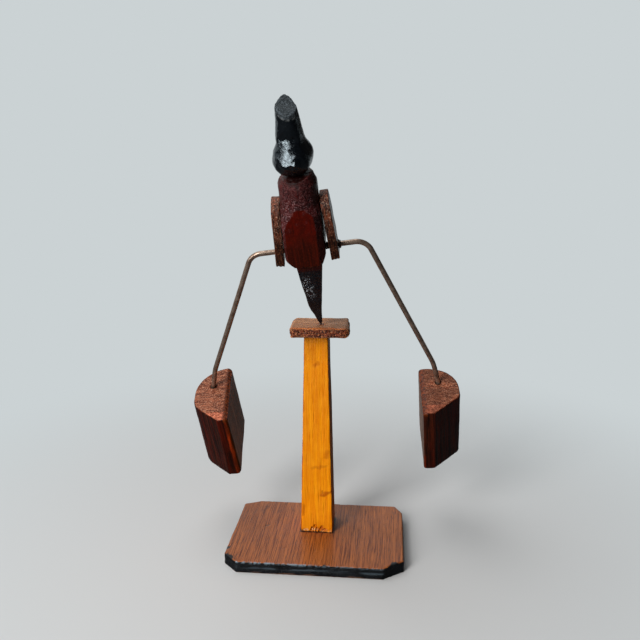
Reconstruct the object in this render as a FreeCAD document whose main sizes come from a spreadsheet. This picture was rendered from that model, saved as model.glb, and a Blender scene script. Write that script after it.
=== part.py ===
import FreeCAD, Part
import os
import Sketcher
from math import atan, cos, degrees, pi, radians, sin, tan

from FreeCAD import Placement, Rotation, Vector

# Balancing bird toy: a wooden stand carries a point-footed carved bird, kept
# upright by two half-round weights on one bent steel rod.
# Millimetres and degrees. +Z up, the origin lies under the middle of the base board.
# The bird has a frame of its own: origin at the balance point, +Z along its body.

doc = FreeCAD.newDocument("balancing_bird")
sheet = doc.addObject("Spreadsheet::Sheet", "Sizes")

# Driving dimensions
driving = [
    # Base board and its four cut corners
    ("base_width", 110.0),
    ("base_depth", 77.5),
    ("base_thickness", 7.4),
    ("base_ease", 0.6),
    ("front_left_cut_x", 8.7),
    ("front_left_cut_y", 8.6),
    ("front_right_cut_x", 12.4),
    ("front_right_cut_y", 9.2),
    ("back_right_cut_x", 5.0),
    ("back_right_cut_y", 9.0),
    ("back_left_cut_x", 11.0),
    ("back_left_cut_y", 5.0),
    # Post and the perch board on top of it
    ("post_x", -0.8),
    ("post_y", 9.8),
    ("post_foot", 20.8),
    ("post_head", 14.7),
    ("post_length", 130.9),
    ("post_ease", 0.5),
    ("perch_x", 1.1),
    ("perch_y", 11.0),
    ("perch_width", 36.8),
    ("perch_depth", 29.8),
    ("perch_thickness", 6.1),
    ("perch_turn", 3.0),
    ("perch_corner", 2.4),
    ("perch_ease", 0.9),
    # Countersunk screw that holds the post from below
    ("screw_head", 8.0),
    ("screw_shank", 4.0),
    ("screw_length", 32.0),
    ("screw_point", 5.0),
    ("screw_tip", 0.5),
    ("screw_sink", 0.8),
    ("screw_slot_width", 1.2),
    ("screw_slot_depth", 1.0),
    # Nail under the balance point, with a punched cup for the ball end of the tail pin
    ("pivot_x", 1.8),
    ("pivot_y", 9.0),
    ("nail_head", 3.2),
    ("nail_head_thickness", 0.9),
    ("nail_shank", 1.6),
    ("nail_length", 18.0),
    ("nail_point", 2.5),
    ("nail_tip", 0.2),
    ("cup_depth", 0.35),
    ("ball_diameter", 1.2),
    ("running_clearance", 0.05),
    # Attitude of the bird as it stands in balance
    ("lean_forward", 24.0),
    ("lean_sideways", 5.9),
    ("turn", 3.0),
    # Pin in the tail
    ("pin_diameter", 1.3),
    ("pin_end_diameter", 0.8),
    ("pin_taper", 3.4),
    ("pin_length", 16.0),
    # Tail, as four sections from its tip to the torso
    ("tail_tip_height", 3.0),
    ("tail_tip_width", 2.0),
    ("tail_tip_depth", 2.2),
    ("tail_neck_height", 8.5),
    ("tail_neck_width", 3.8),
    ("tail_neck_depth", 3.6),
    ("tail_neck_offset", -0.6),
    ("tail_knee_height", 14.5),
    ("tail_knee_width", 7.1),
    ("tail_knee_depth", 5.4),
    ("tail_knee_offset", -1.45),
    ("tail_top_width", 14.2),
    ("tail_top_depth", 10.6),
    ("tail_top_offset", -1.1),
    ("tail_top_setback", -3.4),
    # Torso
    ("torso_offset", -2.3),
    ("torso_setback", -1.0),
    ("torso_bottom", 49.0),
    ("torso_length", 52.5),
    ("torso_bottom_width", 23.2),
    ("torso_top_width", 20.8),
    ("torso_top_shift", 0.6),
    ("torso_depth", 22.0),
    ("shoulder_start", 20.0),
    ("shoulder_start_radius", 17.0),
    ("shoulder_end", 37.0),
    ("shoulder_end_radius", 10.8),
    ("crown_height", 4.5),
    ("crown_start_radius", 10.8),
    ("crown_radius", 8.8),
    ("left_hip_width", 5.0),
    ("left_hip_height", 5.2),
    ("right_hip_width", 2.9),
    ("right_hip_height", 6.0),
    ("hip_round", 3.0),
    ("left_bevel", 1.4),
    ("right_bevel", 3.6),
    # Head
    ("head_offset", -1.9),
    ("bulb_radius", 10.65),
    ("bulb_flat", 0.6),
    ("beak_root_radius", 8.6),
    ("beak_end_radius", 5.1),
    ("beak_length", 32.0),
    ("beak_cove", 6.0),
    ("beak_cut_height", 27.2),
    ("beak_cut_pitch", 37.0),
    ("beak_cut_tilt", 11.0),
    # Hidden dowels in head, torso and tail
    ("neck_dowel_diameter", 4.8),
    ("neck_dowel_length", 20.0),
    ("tail_dowel_diameter", 4.0),
    ("tail_dowel_length", 21.0),
    ("tail_dowel_setback", -4.3),
    ("dowel_end_gap", 0.5),
    ("dowel_end", 0.6),
    ("glue_gap", 0.05),
    # Wings
    ("wing_thickness", 5.0),
    ("wing_length", 38.8),
    ("wing_width", 17.5),
    ("wing_foot_width", 12.5),
    ("wing_front", -6.5),
    ("wing_touch", 35.8),
    ("left_wing_foot", -1.2),
    ("right_wing_foot", 0.0),
    ("wing_shoulder", 8.0),
    ("wing_ease", 0.5),
    ("wing_gap", 0.25),
    ("left_wing_splay", 3.7),
    ("right_wing_splay", 4.0),
    # Bent rod
    ("rod_diameter", 3.0),
    ("rod_left_height", 53.95),
    ("rod_right_height", 55.85),
    ("rod_corner_radius", 9.2),
    ("rod_lower_radius", 30.0),
    ("left_corner_reach", 34.4),
    ("left_arm_slope", 25.13),
    ("left_arm_drop", 77.96),
    ("left_arm_forward", 6.75),
    ("left_tip_slope", 16.0),
    ("left_rod_embed", 9.0),
    ("right_corner_reach", 32.3),
    ("right_arm_slope", 21.35),
    ("right_arm_drop", 90.6),
    ("right_arm_forward", 6.75),
    ("right_tip_slope", 9.2),
    ("right_rod_embed", 42.0),
    # Weights: blocks with one broad round corner and one planed facet
    ("weight_ease", 0.7),
    ("hole_mouth", 4.2),
    ("hole_mouth_depth", 0.8),
    ("left_weight_drop", 13.5),
    ("left_weight_length", 50.0),
    ("left_weight_inner", 11.1),
    ("left_weight_width", 22.8),
    ("left_weight_back", 16.9),
    ("left_weight_front", 32.3),
    ("left_weight_facet_x", 16.4),
    ("left_weight_facet_y", 15.5),
    ("left_weight_round", 22.0),
    ("left_weight_flare", 1.7),
    ("left_weight_inner_ease", 2.4),
    ("left_weight_facet_round", 14.0),
    ("left_weight_turn", 2.0),
    ("left_weight_tilt", 0.0),
    ("right_weight_drop", 16.5),
    ("right_weight_length", 51.0),
    ("right_weight_inner", 11.7),
    ("right_weight_width", 24.6),
    ("right_weight_back", 13.9),
    ("right_weight_front", 28.4),
    ("right_weight_facet_x", 17.6),
    ("right_weight_facet_y", 14.6),
    ("right_weight_round", 19.5),
    ("right_weight_flare", 0.0),
    ("right_weight_inner_ease", 1.4),
    ("right_weight_facet_round", 5.0),
    ("right_weight_turn", 2.4),
    ("right_weight_tilt", -1.1),
    # Hardened glue where the rod passes the right wing
    ("bead_radius", 3.0),
    ("bead_height", 2.3),
    ("gap_bead_radius", 2.6),
]


class Size:
    """A length or angle that knows its number and the sheet expression behind it."""

    def __init__(self, value, text):
        self.value = value
        self.text = text

    def joined(self, other, sign, value, swapped=False):
        mine = self.text
        theirs = other.text if isinstance(other, Size) else repr(float(other))
        first, second = (theirs, mine) if swapped else (mine, theirs)
        return Size(value, "(%s %s %s)" % (first, sign, second))

    def __add__(self, other):
        return self.joined(other, "+", self.value + float(other))

    def __radd__(self, other):
        return self.joined(other, "+", float(other) + self.value, swapped=True)

    def __sub__(self, other):
        return self.joined(other, "-", self.value - float(other))

    def __rsub__(self, other):
        return self.joined(other, "-", float(other) - self.value, swapped=True)

    def __mul__(self, other):
        return self.joined(other, "*", self.value * float(other))

    def __rmul__(self, other):
        return self.joined(other, "*", float(other) * self.value, swapped=True)

    def __truediv__(self, other):
        return self.joined(other, "/", self.value / float(other))

    def __neg__(self):
        return self * -1.0

    def __float__(self):
        return self.value


def slope(rise, run):
    """The angle whose tangent is rise over run."""
    value = degrees(atan(float(rise) / float(run)))
    return Size(value, "atan(%s / %s)" % (rise.text, run.text))


class Sizes:
    """The driving dimensions, each under its own name."""


D = Sizes()
for row, (name, value) in enumerate(driving, start=1):
    sheet.set("A%d" % row, name)
    sheet.set("B%d" % row, str(value))
    sheet.setAlias("B%d" % row, name)
    setattr(D, name, Size(value, "Sizes." + name))
doc.recompute()
ZERO = Size(0.0, "0")
nodes = []


# Building blocks

X_AXIS = Vector(1, 0, 0)
Y_AXIS = Vector(0, 1, 0)
Z_AXIS = Vector(0, 0, 1)
TOUCH = 0.01
PARALLEL = 0.98


def bind(obj, **sizes):
    """Tie properties to the sheet; a double underscore stands for a dot."""
    for prop, size in sizes.items():
        obj.setExpression(prop.replace("__", "."), size.text)


def place(obj, x, y, z):
    bind(obj, Placement__Base__x=x, Placement__Base__y=y, Placement__Base__z=z)


def solid(kind, name, at, **sizes):
    """A box, cylinder, cone or sphere, at a point tied to the sheet where one is given."""
    obj = doc.addObject("Part::" + kind, name)
    bind(obj, **sizes)
    if at:
        place(obj, *at)
    return obj


def box(name, length, width, height, at=None):
    return solid("Box", name, at, Length=length, Width=width, Height=height)


def cylinder(name, radius, height, at=None):
    return solid("Cylinder", name, at, Radius=radius, Height=height)


def cone(name, lower, upper, height, at=None):
    return solid("Cone", name, at, Radius1=lower, Radius2=upper, Height=height)


def sphere(name, radius, at=None):
    return solid("Sphere", name, at, Radius=radius)


def cut(name, base, *tools):
    """Take the tools away from the base, one after another."""
    for number, tool in enumerate(tools, start=1):
        obj = doc.addObject("Part::Cut", "%s_cut_%d" % (name, number))
        obj.Base = base
        obj.Tool = tool
        base = obj
    doc.recompute()
    return base


def fuse(name, *shapes):
    obj = doc.addObject("Part::MultiFuse", name)
    obj.Shapes = list(shapes)
    obj.Refine = True
    doc.recompute()
    return obj


def round_edges(name, base, rules):
    """Round a boolean's edges, each by the first radius whose test picks it out."""
    obj = doc.addObject("Part::Fillet", name)
    obj.Base = base
    picked = []
    for i, edge in enumerate(base.Shape.Edges, start=1):
        radii = [float(radius) for radius, chosen in rules if chosen(edge)]
        if radii:
            picked.append((i, radii[0], radii[0]))
    obj.Edges = picked
    doc.recompute()
    return obj


def middle(edge):
    return edge.valueAt((edge.FirstParameter + edge.LastParameter) / 2)


def runs_along(edge, axis):
    if len(edge.Vertexes) != 2:
        return False
    span = edge.Vertexes[1].Point - edge.Vertexes[0].Point
    return abs(span.dot(axis)) > PARALLEL * span.Length


def origin_plane(body, role):
    return next(feature for feature in body.Origin.OriginFeatures if feature.Role == role)


def outline(body, name, role, corners, offset=ZERO, shift=ZERO):
    """A closed sketch of straight lines through corners tied to the sheet."""
    sketch = body.newObject("Sketcher::SketchObject", name)
    sketch.AttachmentSupport = [(origin_plane(body, role), "")]
    sketch.MapMode = "FlatFace"
    bind(sketch, AttachmentOffset__Base__x=shift, AttachmentOffset__Base__z=offset)
    points = [Vector(float(x), float(y), 0) for x, y in corners]
    count = len(points)
    for i, point in enumerate(points):
        sketch.addGeometry(Part.LineSegment(point, points[(i + 1) % count]), False)
    for i in range(count):
        sketch.addConstraint(Sketcher.Constraint("Coincident", i, 2, (i + 1) % count, 1))
    for i, corner in enumerate(corners):
        for kind, size in zip(("DistanceX", "DistanceY"), corner):
            constraint = Sketcher.Constraint(kind, -1, 1, i, 1, float(size))
            index = sketch.addConstraint(constraint)
            sketch.setExpression("Constraints[%d]" % index, size.text)
    doc.recompute()
    return sketch


def rectangle(width, depth, x=ZERO, y=ZERO):
    """Corners of a rectangle about a centre."""
    return [
        (x - width / 2, y - depth / 2),
        (x + width / 2, y - depth / 2),
        (x + width / 2, y + depth / 2),
        (x - width / 2, y + depth / 2),
    ]


def set_up(obj, values):
    for prop, value in values.items():
        if isinstance(value, Size):
            bind(obj, **{prop: value})
        else:
            setattr(obj, prop, value)
    doc.recompute()
    return obj


def shape_from(body, kind, name, profile, **values):
    """A pad, pocket, groove or loft of a sketch."""
    obj = body.newObject("PartDesign::" + kind, name)
    obj.Profile = profile
    return set_up(obj, values)


def dress(body, kind, name, chosen, **values):
    """Fillet or chamfer the body's edges that a test picks out."""
    base = body.Tip
    names = ["Edge%d" % i for i, edge in enumerate(base.Shape.Edges, start=1) if chosen(edge)]
    obj = body.newObject("PartDesign::" + kind, name)
    obj.Base = (base, names)
    return set_up(obj, values)


def keep(obj, label, placement=Placement()):
    """Name a finished piece and put it in its place."""
    obj.Label = label
    obj.Placement = placement
    nodes.append(obj)


# Levels and radii that several pieces share

post_bottom = D.base_thickness
post_top = post_bottom + D.post_length
stand_top = post_top + D.perch_thickness
ball_radius = D.ball_diameter / 2
cup_radius = ball_radius + D.running_clearance
pivot_height = stand_top - D.cup_depth + cup_radius
torso_top = D.torso_bottom + D.torso_length
rod_radius = D.rod_diameter / 2
rod_bore = rod_radius + D.glue_gap

attitude = Placement(
    Vector(float(D.pivot_x), float(D.pivot_y), float(pivot_height)),
    Rotation(Z_AXIS, float(D.turn))
    * Rotation(Y_AXIS, -float(D.lean_sideways))
    * Rotation(X_AXIS, float(D.lean_forward)),
)


# Base board with four knife-cut corners, and a countersunk hole from below

def make_base_board():
    half_width = D.base_width / 2
    half_depth = D.base_depth / 2
    corners = [
        (-half_width, D.front_left_cut_y - half_depth),
        (D.front_left_cut_x - half_width, -half_depth),
        (half_width - D.front_right_cut_x, -half_depth),
        (half_width, D.front_right_cut_y - half_depth),
        (half_width, half_depth - D.back_right_cut_y),
        (half_width - D.back_right_cut_x, half_depth),
        (D.back_left_cut_x - half_width, half_depth),
        (-half_width, half_depth - D.back_left_cut_y),
    ]
    body = doc.addObject("PartDesign::Body", "base_body")
    sketch = outline(body, "base_outline", "XY_Plane", corners)
    shape_from(body, "Pad", "base_pad", sketch, Length=D.base_thickness)
    top = float(D.base_thickness)
    dress(body, "Fillet", "base_top_edge",
          lambda edge: middle(edge).z > top - TOUCH, Radius=D.base_ease)
    gap = D.glue_gap
    head = D.screw_head / 2 + gap
    shank = D.screw_shank / 2 + gap
    mouth = cylinder("base_screw_mouth", head, D.screw_sink, (D.post_x, D.post_y, ZERO))
    sink = cone("base_countersink", head, shank, head - shank,
                (D.post_x, D.post_y, D.screw_sink))
    hole = cylinder("base_screw_hole", shank, D.base_thickness, (D.post_x, D.post_y, ZERO))
    keep(cut("base", body, mouth, sink, hole), "base_board")


# Square post that tapers upwards

def make_post():
    body = doc.addObject("PartDesign::Body", "post_body")
    foot = outline(body, "post_foot_outline", "XY_Plane",
                   rectangle(D.post_foot, D.post_foot, D.post_x, D.post_y), post_bottom)
    shape_from(body, "Pad", "post_pad", foot, Length=D.post_length,
               TaperAngle=slope((D.post_head - D.post_foot) / 2, D.post_length))
    dress(body, "Fillet", "post_long_edges",
          lambda edge: runs_along(edge, Z_AXIS), Radius=D.post_ease)
    pilot_depth = D.screw_length + D.screw_sink - D.base_thickness + D.dowel_end_gap
    pilot = cylinder("post_pilot", D.screw_shank / 2 + D.glue_gap, pilot_depth,
                     (D.post_x, D.post_y, post_bottom))
    bore_depth = D.nail_length - D.perch_thickness + D.dowel_end_gap
    bore = cylinder("post_nail_bore", D.nail_shank / 2 + D.running_clearance, bore_depth,
                    (D.pivot_x, D.pivot_y, post_top - bore_depth))
    keep(cut("post", body, pilot, bore), "post")


# Small perch board with rounded corners, recessed for the nail head

def make_perch():
    body = doc.addObject("PartDesign::Body", "perch_body")
    sketch = outline(body, "perch_outline", "XY_Plane",
                     rectangle(D.perch_width, D.perch_depth))
    shape_from(body, "Pad", "perch_pad", sketch, Length=D.perch_thickness)
    dress(body, "Fillet", "perch_corners",
          lambda edge: runs_along(edge, Z_AXIS), Radius=D.perch_corner)
    dress(body, "Fillet", "perch_rims",
          lambda edge: abs(edge.tangentAt(edge.FirstParameter).z) < TOUCH,
          Radius=D.perch_ease)
    body.Placement = Placement(Vector(), Rotation(Z_AXIS, float(D.perch_turn)))
    place(body, D.perch_x, D.perch_y, post_top)
    bore = cylinder("perch_nail_bore", D.nail_shank / 2 + D.running_clearance,
                    D.perch_thickness, (D.pivot_x, D.pivot_y, post_top))
    recess_depth = D.nail_head_thickness + D.running_clearance
    recess = cylinder("perch_recess", D.nail_head / 2 + D.running_clearance, recess_depth,
                      (D.pivot_x, D.pivot_y, stand_top - recess_depth))
    keep(cut("perch", body, bore, recess), "perch")


def make_post_screw():
    radius = D.screw_shank / 2
    head_height = (D.screw_head - D.screw_shank) / 2
    head = cone("screw_head_cone", D.screw_head / 2, radius, head_height,
                (D.post_x, D.post_y, D.screw_sink))
    shank_length = D.screw_length - D.screw_point - head_height
    shank = cylinder("screw_shank_rod", radius, shank_length,
                     (D.post_x, D.post_y, D.screw_sink + head_height))
    point = cone("screw_point_cone", radius, D.screw_tip / 2, D.screw_point,
                 (D.post_x, D.post_y, D.screw_sink + head_height + shank_length))
    slot = box("screw_slot", D.screw_head, D.screw_slot_width, D.screw_slot_depth,
               (D.post_x - D.screw_head / 2, D.post_y - D.screw_slot_width / 2, D.screw_sink))
    keep(cut("screw", fuse("screw_blank", head, shank, point), slot), "post_screw")


# Nail that turns under the balance point; its head holds the punched cup

def make_bearing_nail():
    radius = D.nail_shank / 2
    head = cylinder("nail_head_disc", D.nail_head / 2, D.nail_head_thickness,
                    (D.pivot_x, D.pivot_y, stand_top - D.nail_head_thickness))
    shank_length = D.nail_length - D.nail_point
    shank = cylinder("nail_shank_rod", radius, shank_length,
                     (D.pivot_x, D.pivot_y, stand_top - shank_length))
    point = cone("nail_point_cone", D.nail_tip / 2, radius, D.nail_point,
                 (D.pivot_x, D.pivot_y, stand_top - D.nail_length))
    cup = sphere("nail_cup", cup_radius, (D.pivot_x, D.pivot_y, pivot_height))
    keep(cut("nail", fuse("nail_blank", head, shank, point), cup), "bearing_nail")


# Ball end of the tail pin: the point that the whole bird stands on

def make_pin_ball():
    keep(sphere("ball", ball_radius), "pin_ball", Placement(attitude.Base, Rotation()))


# Steel pin in the tail, hollowed at its lower end round the ball

def make_tail_pin():
    taper = cone("pin_taper_cone", D.pin_end_diameter / 2, D.pin_diameter / 2, D.pin_taper)
    shank = cylinder("pin_shank", D.pin_diameter / 2, D.pin_length, (ZERO, ZERO, D.pin_taper))
    seat = sphere("pin_seat", cup_radius)
    keep(cut("pin", fuse("pin_blank", taper, shank), seat), "tail_pin", attitude)


# Tail: four rectangular sections from the tip up to the torso

def make_tail():
    sections = [
        (D.tail_tip_height, D.tail_tip_width, D.tail_tip_depth, ZERO, ZERO),
        (D.tail_neck_height, D.tail_neck_width, D.tail_neck_depth, D.tail_neck_offset, ZERO),
        (D.tail_knee_height, D.tail_knee_width, D.tail_knee_depth, D.tail_knee_offset, ZERO),
        (D.torso_bottom, D.tail_top_width, D.tail_top_depth, D.tail_top_offset,
         D.tail_top_setback),
    ]
    body = doc.addObject("PartDesign::Body", "tail_body")
    sketches = [
        outline(body, "tail_section_%d" % i, "XY_Plane", rectangle(width, depth, x, y), height)
        for i, (height, width, depth, x, y) in enumerate(sections, start=1)
    ]
    shape_from(body, "AdditiveLoft", "tail_loft", sketches[0], Sections=sketches[1:], Ruled=True)
    bore = cylinder("tail_pin_bore", D.pin_diameter / 2 + D.glue_gap,
                    D.pin_taper + D.pin_length + D.dowel_end_gap)
    depth = D.tail_dowel_length / 2 + D.dowel_end_gap
    dowel = cylinder("tail_dowel_bore", D.tail_dowel_diameter / 2 + D.glue_gap, depth,
                     (D.tail_top_offset, D.tail_dowel_setback, D.torso_bottom - depth))
    keep(cut("tail", body, bore, dowel), "tail", attitude)


# Torso: a tapered block whose upper part is whittled round

def torso_block():
    body = doc.addObject("PartDesign::Body", "torso_body")
    place(body, D.torso_offset, D.torso_setback, D.torso_bottom)
    half = D.torso_bottom_width / 2
    half_top = D.torso_top_width / 2
    front_view = outline(body, "torso_outline", "XZ_Plane", [
        (D.left_hip_width - half, ZERO),
        (half - D.right_hip_width, ZERO),
        (half, D.right_hip_height),
        (D.torso_top_shift + half_top, D.torso_length),
        (D.torso_top_shift - half_top, D.torso_length),
        (-half, D.left_hip_height),
    ])
    shape_from(body, "Pad", "torso_pad", front_view, Midplane=True, Length=D.torso_depth)
    front = TOUCH - float(D.torso_depth) / 2
    for side, bevel in ((-1, D.left_bevel), (1, D.right_bevel)):
        dress(body, "Chamfer", "torso_bevel", lambda edge: (
            runs_along(edge, Z_AXIS) and middle(edge).y < front and middle(edge).x * side > 0
        ), Size=bevel)
    hips = max(float(D.left_hip_height), float(D.right_hip_height)) + TOUCH
    dress(body, "Fillet", "torso_hips", lambda edge: (
        runs_along(edge, Y_AXIS) and middle(edge).z < hips
    ), Radius=D.hip_round)
    outside = D.torso_bottom_width
    shoulder = outline(body, "torso_shoulder_outline", "XZ_Plane", [
        (D.shoulder_start_radius, D.shoulder_start),
        (D.shoulder_end_radius, D.shoulder_end),
        (D.crown_start_radius, D.torso_length - D.crown_height),
        (D.crown_radius, D.torso_length),
        (outside, D.torso_length),
        (outside, D.shoulder_start),
    ], shift=D.torso_top_shift)
    shape_from(body, "Groove", "torso_shoulder", shoulder,
               ReferenceAxis=(shoulder, ["V_Axis"]), Angle=360.0)
    return body


def make_torso(body, bar_bore):
    neck_depth = D.neck_dowel_length / 2 + D.dowel_end_gap
    neck = cylinder("torso_neck_bore", D.neck_dowel_diameter / 2 + D.glue_gap, neck_depth,
                    (D.head_offset, D.torso_setback, torso_top - neck_depth))
    tail_depth = D.tail_dowel_length / 2 + D.dowel_end_gap
    tail = cylinder("torso_tail_bore", D.tail_dowel_diameter / 2 + D.glue_gap, tail_depth,
                    (D.tail_top_offset, D.tail_dowel_setback, D.torso_bottom))
    keep(cut("torso", body, bar_bore, neck, tail), "torso", attitude)


def dowel(label, diameter, length, x, y, z):
    """A round pin about a joint face, with tapered ends."""
    end = D.dowel_end
    radius = diameter / 2
    low = z - length / 2
    keep(fuse(
        label + "_blank",
        cone(label + "_lower_end", radius - end, radius, end, (x, y, low)),
        cylinder(label + "_shank", radius, length - end * 2, (x, y, low + end)),
        cone(label + "_upper_end", radius, radius - end, end, (x, y, low + length - end)),
    ), label, attitude)


# Head: a ball and a tapering beak with its end cut off at a slant

def make_head():
    y = D.torso_setback
    bulb_height = torso_top + D.bulb_radius - D.bulb_flat
    bulb = sphere("bulb", D.bulb_radius, (D.head_offset, y, bulb_height))
    beak = cone("beak", D.beak_root_radius, D.beak_end_radius, D.beak_length,
                (D.head_offset, y, bulb_height))
    joined = fuse("head_blank", bulb, beak)
    low = float(bulb_height)
    high = low + float(D.beak_length) / 2
    coved = round_edges("head_cove", joined, [(D.beak_cove, lambda edge: (
        len(edge.Vertexes) == 1 and low < middle(edge).z < high))])
    wide = D.bulb_radius * 2
    seat = box("head_seat", wide, wide, D.bulb_radius,
               (D.head_offset - wide / 2, y - wide / 2, torso_top - D.bulb_radius))
    slant = cylinder("beak_slant", D.bulb_radius * 2, D.bulb_radius * 2,
                     (D.head_offset, y, bulb_height + D.beak_cut_height))
    slant.Placement = Placement(
        slant.Placement.Base,
        Rotation(Y_AXIS, float(D.beak_cut_tilt)) * Rotation(X_AXIS, float(D.beak_cut_pitch)),
    )
    depth = D.neck_dowel_length / 2 + D.dowel_end_gap
    bore = cylinder("head_dowel_bore", D.neck_dowel_diameter / 2 + D.glue_gap, depth,
                    (D.head_offset, y, torso_top))
    keep(cut("head", coved, seat, slant, bore), "head", attitude)


# Wings: thin boards that lean out from the torso's flanks

def flank_at(side, hip_height, height):
    """How far the torso's flank stands out at a height above its bottom, past the hips."""
    bottom = D.torso_bottom_width / 2
    change = D.torso_top_width / 2 + side * D.torso_top_shift - bottom
    rise = float(height - hip_height) / float(D.torso_length - hip_height)
    return bottom + change * rise


def wing_board(name, side, hip_height, foot, splay):
    body = doc.addObject("PartDesign::Body", name + "_body")
    front = D.wing_front
    low = foot - D.wing_touch
    high = low + D.wing_length
    corners = [
        (front, low),
        (front + D.wing_foot_width, low),
        (front + D.wing_width, low + D.wing_length / 2),
        (front + D.wing_width, high),
        (front, high),
    ]
    sketch = outline(body, name + "_outline", "YZ_Plane", corners)
    shape_from(body, "Pad", name + "_pad", sketch, Length=D.wing_thickness, Reversed=side < 0)
    shoulder_level = float(high) - TOUCH
    dress(body, "Fillet", name + "_shoulder", lambda edge: (
        runs_along(edge, X_AXIS) and middle(edge).z > shoulder_level
    ), Radius=D.wing_shoulder)
    outer = float(D.wing_thickness) - TOUCH
    dress(body, "Fillet", name + "_outer_edge",
          lambda edge: middle(edge).x * side > outer, Radius=D.wing_ease)
    x = D.torso_offset + side * (flank_at(side, hip_height, D.wing_touch) + D.wing_gap)
    body.Placement = Placement(Vector(), Rotation(Y_AXIS, -side * float(splay)))
    place(body, x, ZERO, D.torso_bottom + D.wing_touch)
    doc.recompute()
    return body


# Bent rod, worked out as straight runs joined by tangent arcs

def arm_points(side, reach, height, slope, drop, forward, tip_slope, weight_drop, embed):
    """Corner, lower bend, entry into the weight and end of one arm."""
    corner = Vector(side * float(reach), 0, float(height))
    fall = float(drop)
    bend = corner + Vector(side * fall * tan(radians(float(slope))), -float(forward), -fall)
    tilt = radians(float(tip_slope))
    heading = Vector(side * sin(tilt), 0, -cos(tilt))
    entry = bend + heading * (float(weight_drop) / cos(tilt))
    return corner, bend, entry, entry + heading * float(embed)


left_arm = arm_points(-1, D.left_corner_reach, D.rod_left_height, D.left_arm_slope,
                      D.left_arm_drop, D.left_arm_forward, D.left_tip_slope,
                      D.left_weight_drop, D.left_rod_embed)
right_arm = arm_points(1, D.right_corner_reach, D.rod_right_height, D.right_arm_slope,
                       D.right_arm_drop, D.right_arm_forward, D.right_tip_slope,
                       D.right_weight_drop, D.right_rod_embed)
crossbar = (right_arm[0] - left_arm[0]).normalize()


def rounded_path(points, radii):
    """Straight runs through the points, with an arc of the given radius at each bend."""
    edges = []
    start = points[0]
    for before, corner, after, radius in zip(points, points[1:], points[2:], radii):
        back = (before - corner).normalize()
        ahead = (after - corner).normalize()
        half = back.getAngle(ahead) / 2
        reach = radius / tan(half)
        centre = corner + (back + ahead).normalize() * (radius / sin(half))
        arc_middle = centre + (corner - centre).normalize() * radius
        arc_start = corner + back * reach
        arc_end = corner + ahead * reach
        edges.append(Part.LineSegment(start, arc_start).toShape())
        edges.append(Part.Arc(arc_start, arc_middle, arc_end).toShape())
        start = arc_end
    edges.append(Part.LineSegment(start, points[-1]).toShape())
    return Part.Wire(edges)


def make_balance_rod():
    points = [left_arm[3], left_arm[1], left_arm[0], right_arm[0], right_arm[1], right_arm[3]]
    corner = float(D.rod_corner_radius)
    lower = float(D.rod_lower_radius)
    path = rounded_path(points, [lower, corner, corner, lower])
    section = Part.Circle(points[0], points[1] - points[0], float(rod_radius)).toShape()
    rod = doc.addObject("Part::Feature", "rod")
    rod.Shape = path.makePipeShell([Part.Wire([section])], True, False)
    expected = path.Length * pi * float(rod_radius) ** 2
    print("rod: length %.1f mm, volume %.1f, section times length %.1f"
          % (path.Length, rod.Shape.Volume, expected))
    keep(rod, "balance_rod", attitude)


# Weights: blocks hung on the rod's ends, flat on their inner side

def make_weight(name, side, arm):
    length, inner, width, back, front, facet_x, facet_y, corner, flare = (
        getattr(D, "%s_%s" % (name, part)) for part in (
            "length", "inner", "width", "back", "front", "facet_x", "facet_y",
            "round", "flare"))
    inner_ease, facet_round, turn, tilt = (
        getattr(D, "%s_%s" % (name, part)) for part in (
            "inner_ease", "facet_round", "turn", "tilt"))
    outer = width - inner + flare
    foot = [
        (-inner, back),
        (-inner, -front),
        (outer - facet_x, -front),
        (outer, facet_y - front),
        (outer, back),
    ]
    body = doc.addObject("PartDesign::Body", name + "_body")
    sketch = outline(body, name + "_foot", "XY_Plane",
                     [(x * side, y) for x, y in foot], -length)
    shape_from(body, "Pad", name + "_pad", sketch, UseCustomVector=True,
               Direction=Vector(-side * float(flare), 0, float(length)),
               AlongSketchNormal=True, Length=length)
    behind = float(back) - TOUCH
    ahead = TOUCH - float(front)
    dress(body, "Fillet", name + "_back_round", lambda edge: (
        runs_along(edge, Z_AXIS) and middle(edge).x * side > 0 and middle(edge).y > behind
    ), Radius=corner)
    dress(body, "Fillet", name + "_facet_round", lambda edge: (
        runs_along(edge, Z_AXIS) and ahead < middle(edge).y < 0 and middle(edge).x * side > 0
    ), Radius=facet_round)
    saw = box(name + "_saw", length, length * 2, length,
              (-inner - length if side > 0 else inner, -length, -length))
    sawn = cut(name + "_blank", body, saw)
    flat = float(inner) - TOUCH
    eased = round_edges(name + "_eased", sawn, [
        (inner_ease, lambda edge: -middle(edge).x * side > flat),
        (D.weight_ease, lambda edge: abs(edge.tangentAt(edge.FirstParameter).z) < TOUCH),
    ])
    entry, end = arm[2], arm[3]
    own = Placement(entry, Rotation(Z_AXIS, -side * float(turn))
                    * Rotation(Y_AXIS, -side * float(tilt)))
    heading = own.Rotation.inverted().multVec((end - entry).normalize())
    down = Rotation(Z_AXIS, heading)
    depth = (end - entry).Length + float(D.dowel_end_gap)
    bore = cylinder(name + "_bore", rod_bore, Size(depth, repr(depth)) + D.hole_mouth)
    bore.Placement = Placement(heading * -float(D.hole_mouth), down)
    rim = cone(name + "_rim", D.hole_mouth / 2, rod_bore, D.hole_mouth_depth * 2)
    rim.Placement = Placement(heading * -float(D.hole_mouth_depth), down)
    keep(cut(name, eased, bore, rim), name, attitude * own)


# Hardened glue on the rod, outside the right wing and between that wing and the torso

def rod_meets(board, level):
    """Where the rod's top run meets a plane of a board, given in the board's own x."""
    into = board.Placement.inverse()
    start = into.multVec(left_arm[0]).x
    step = into.multVec(left_arm[0] + crossbar).x - start
    return left_arm[0] + crossbar * ((level - start) / step)


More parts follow.
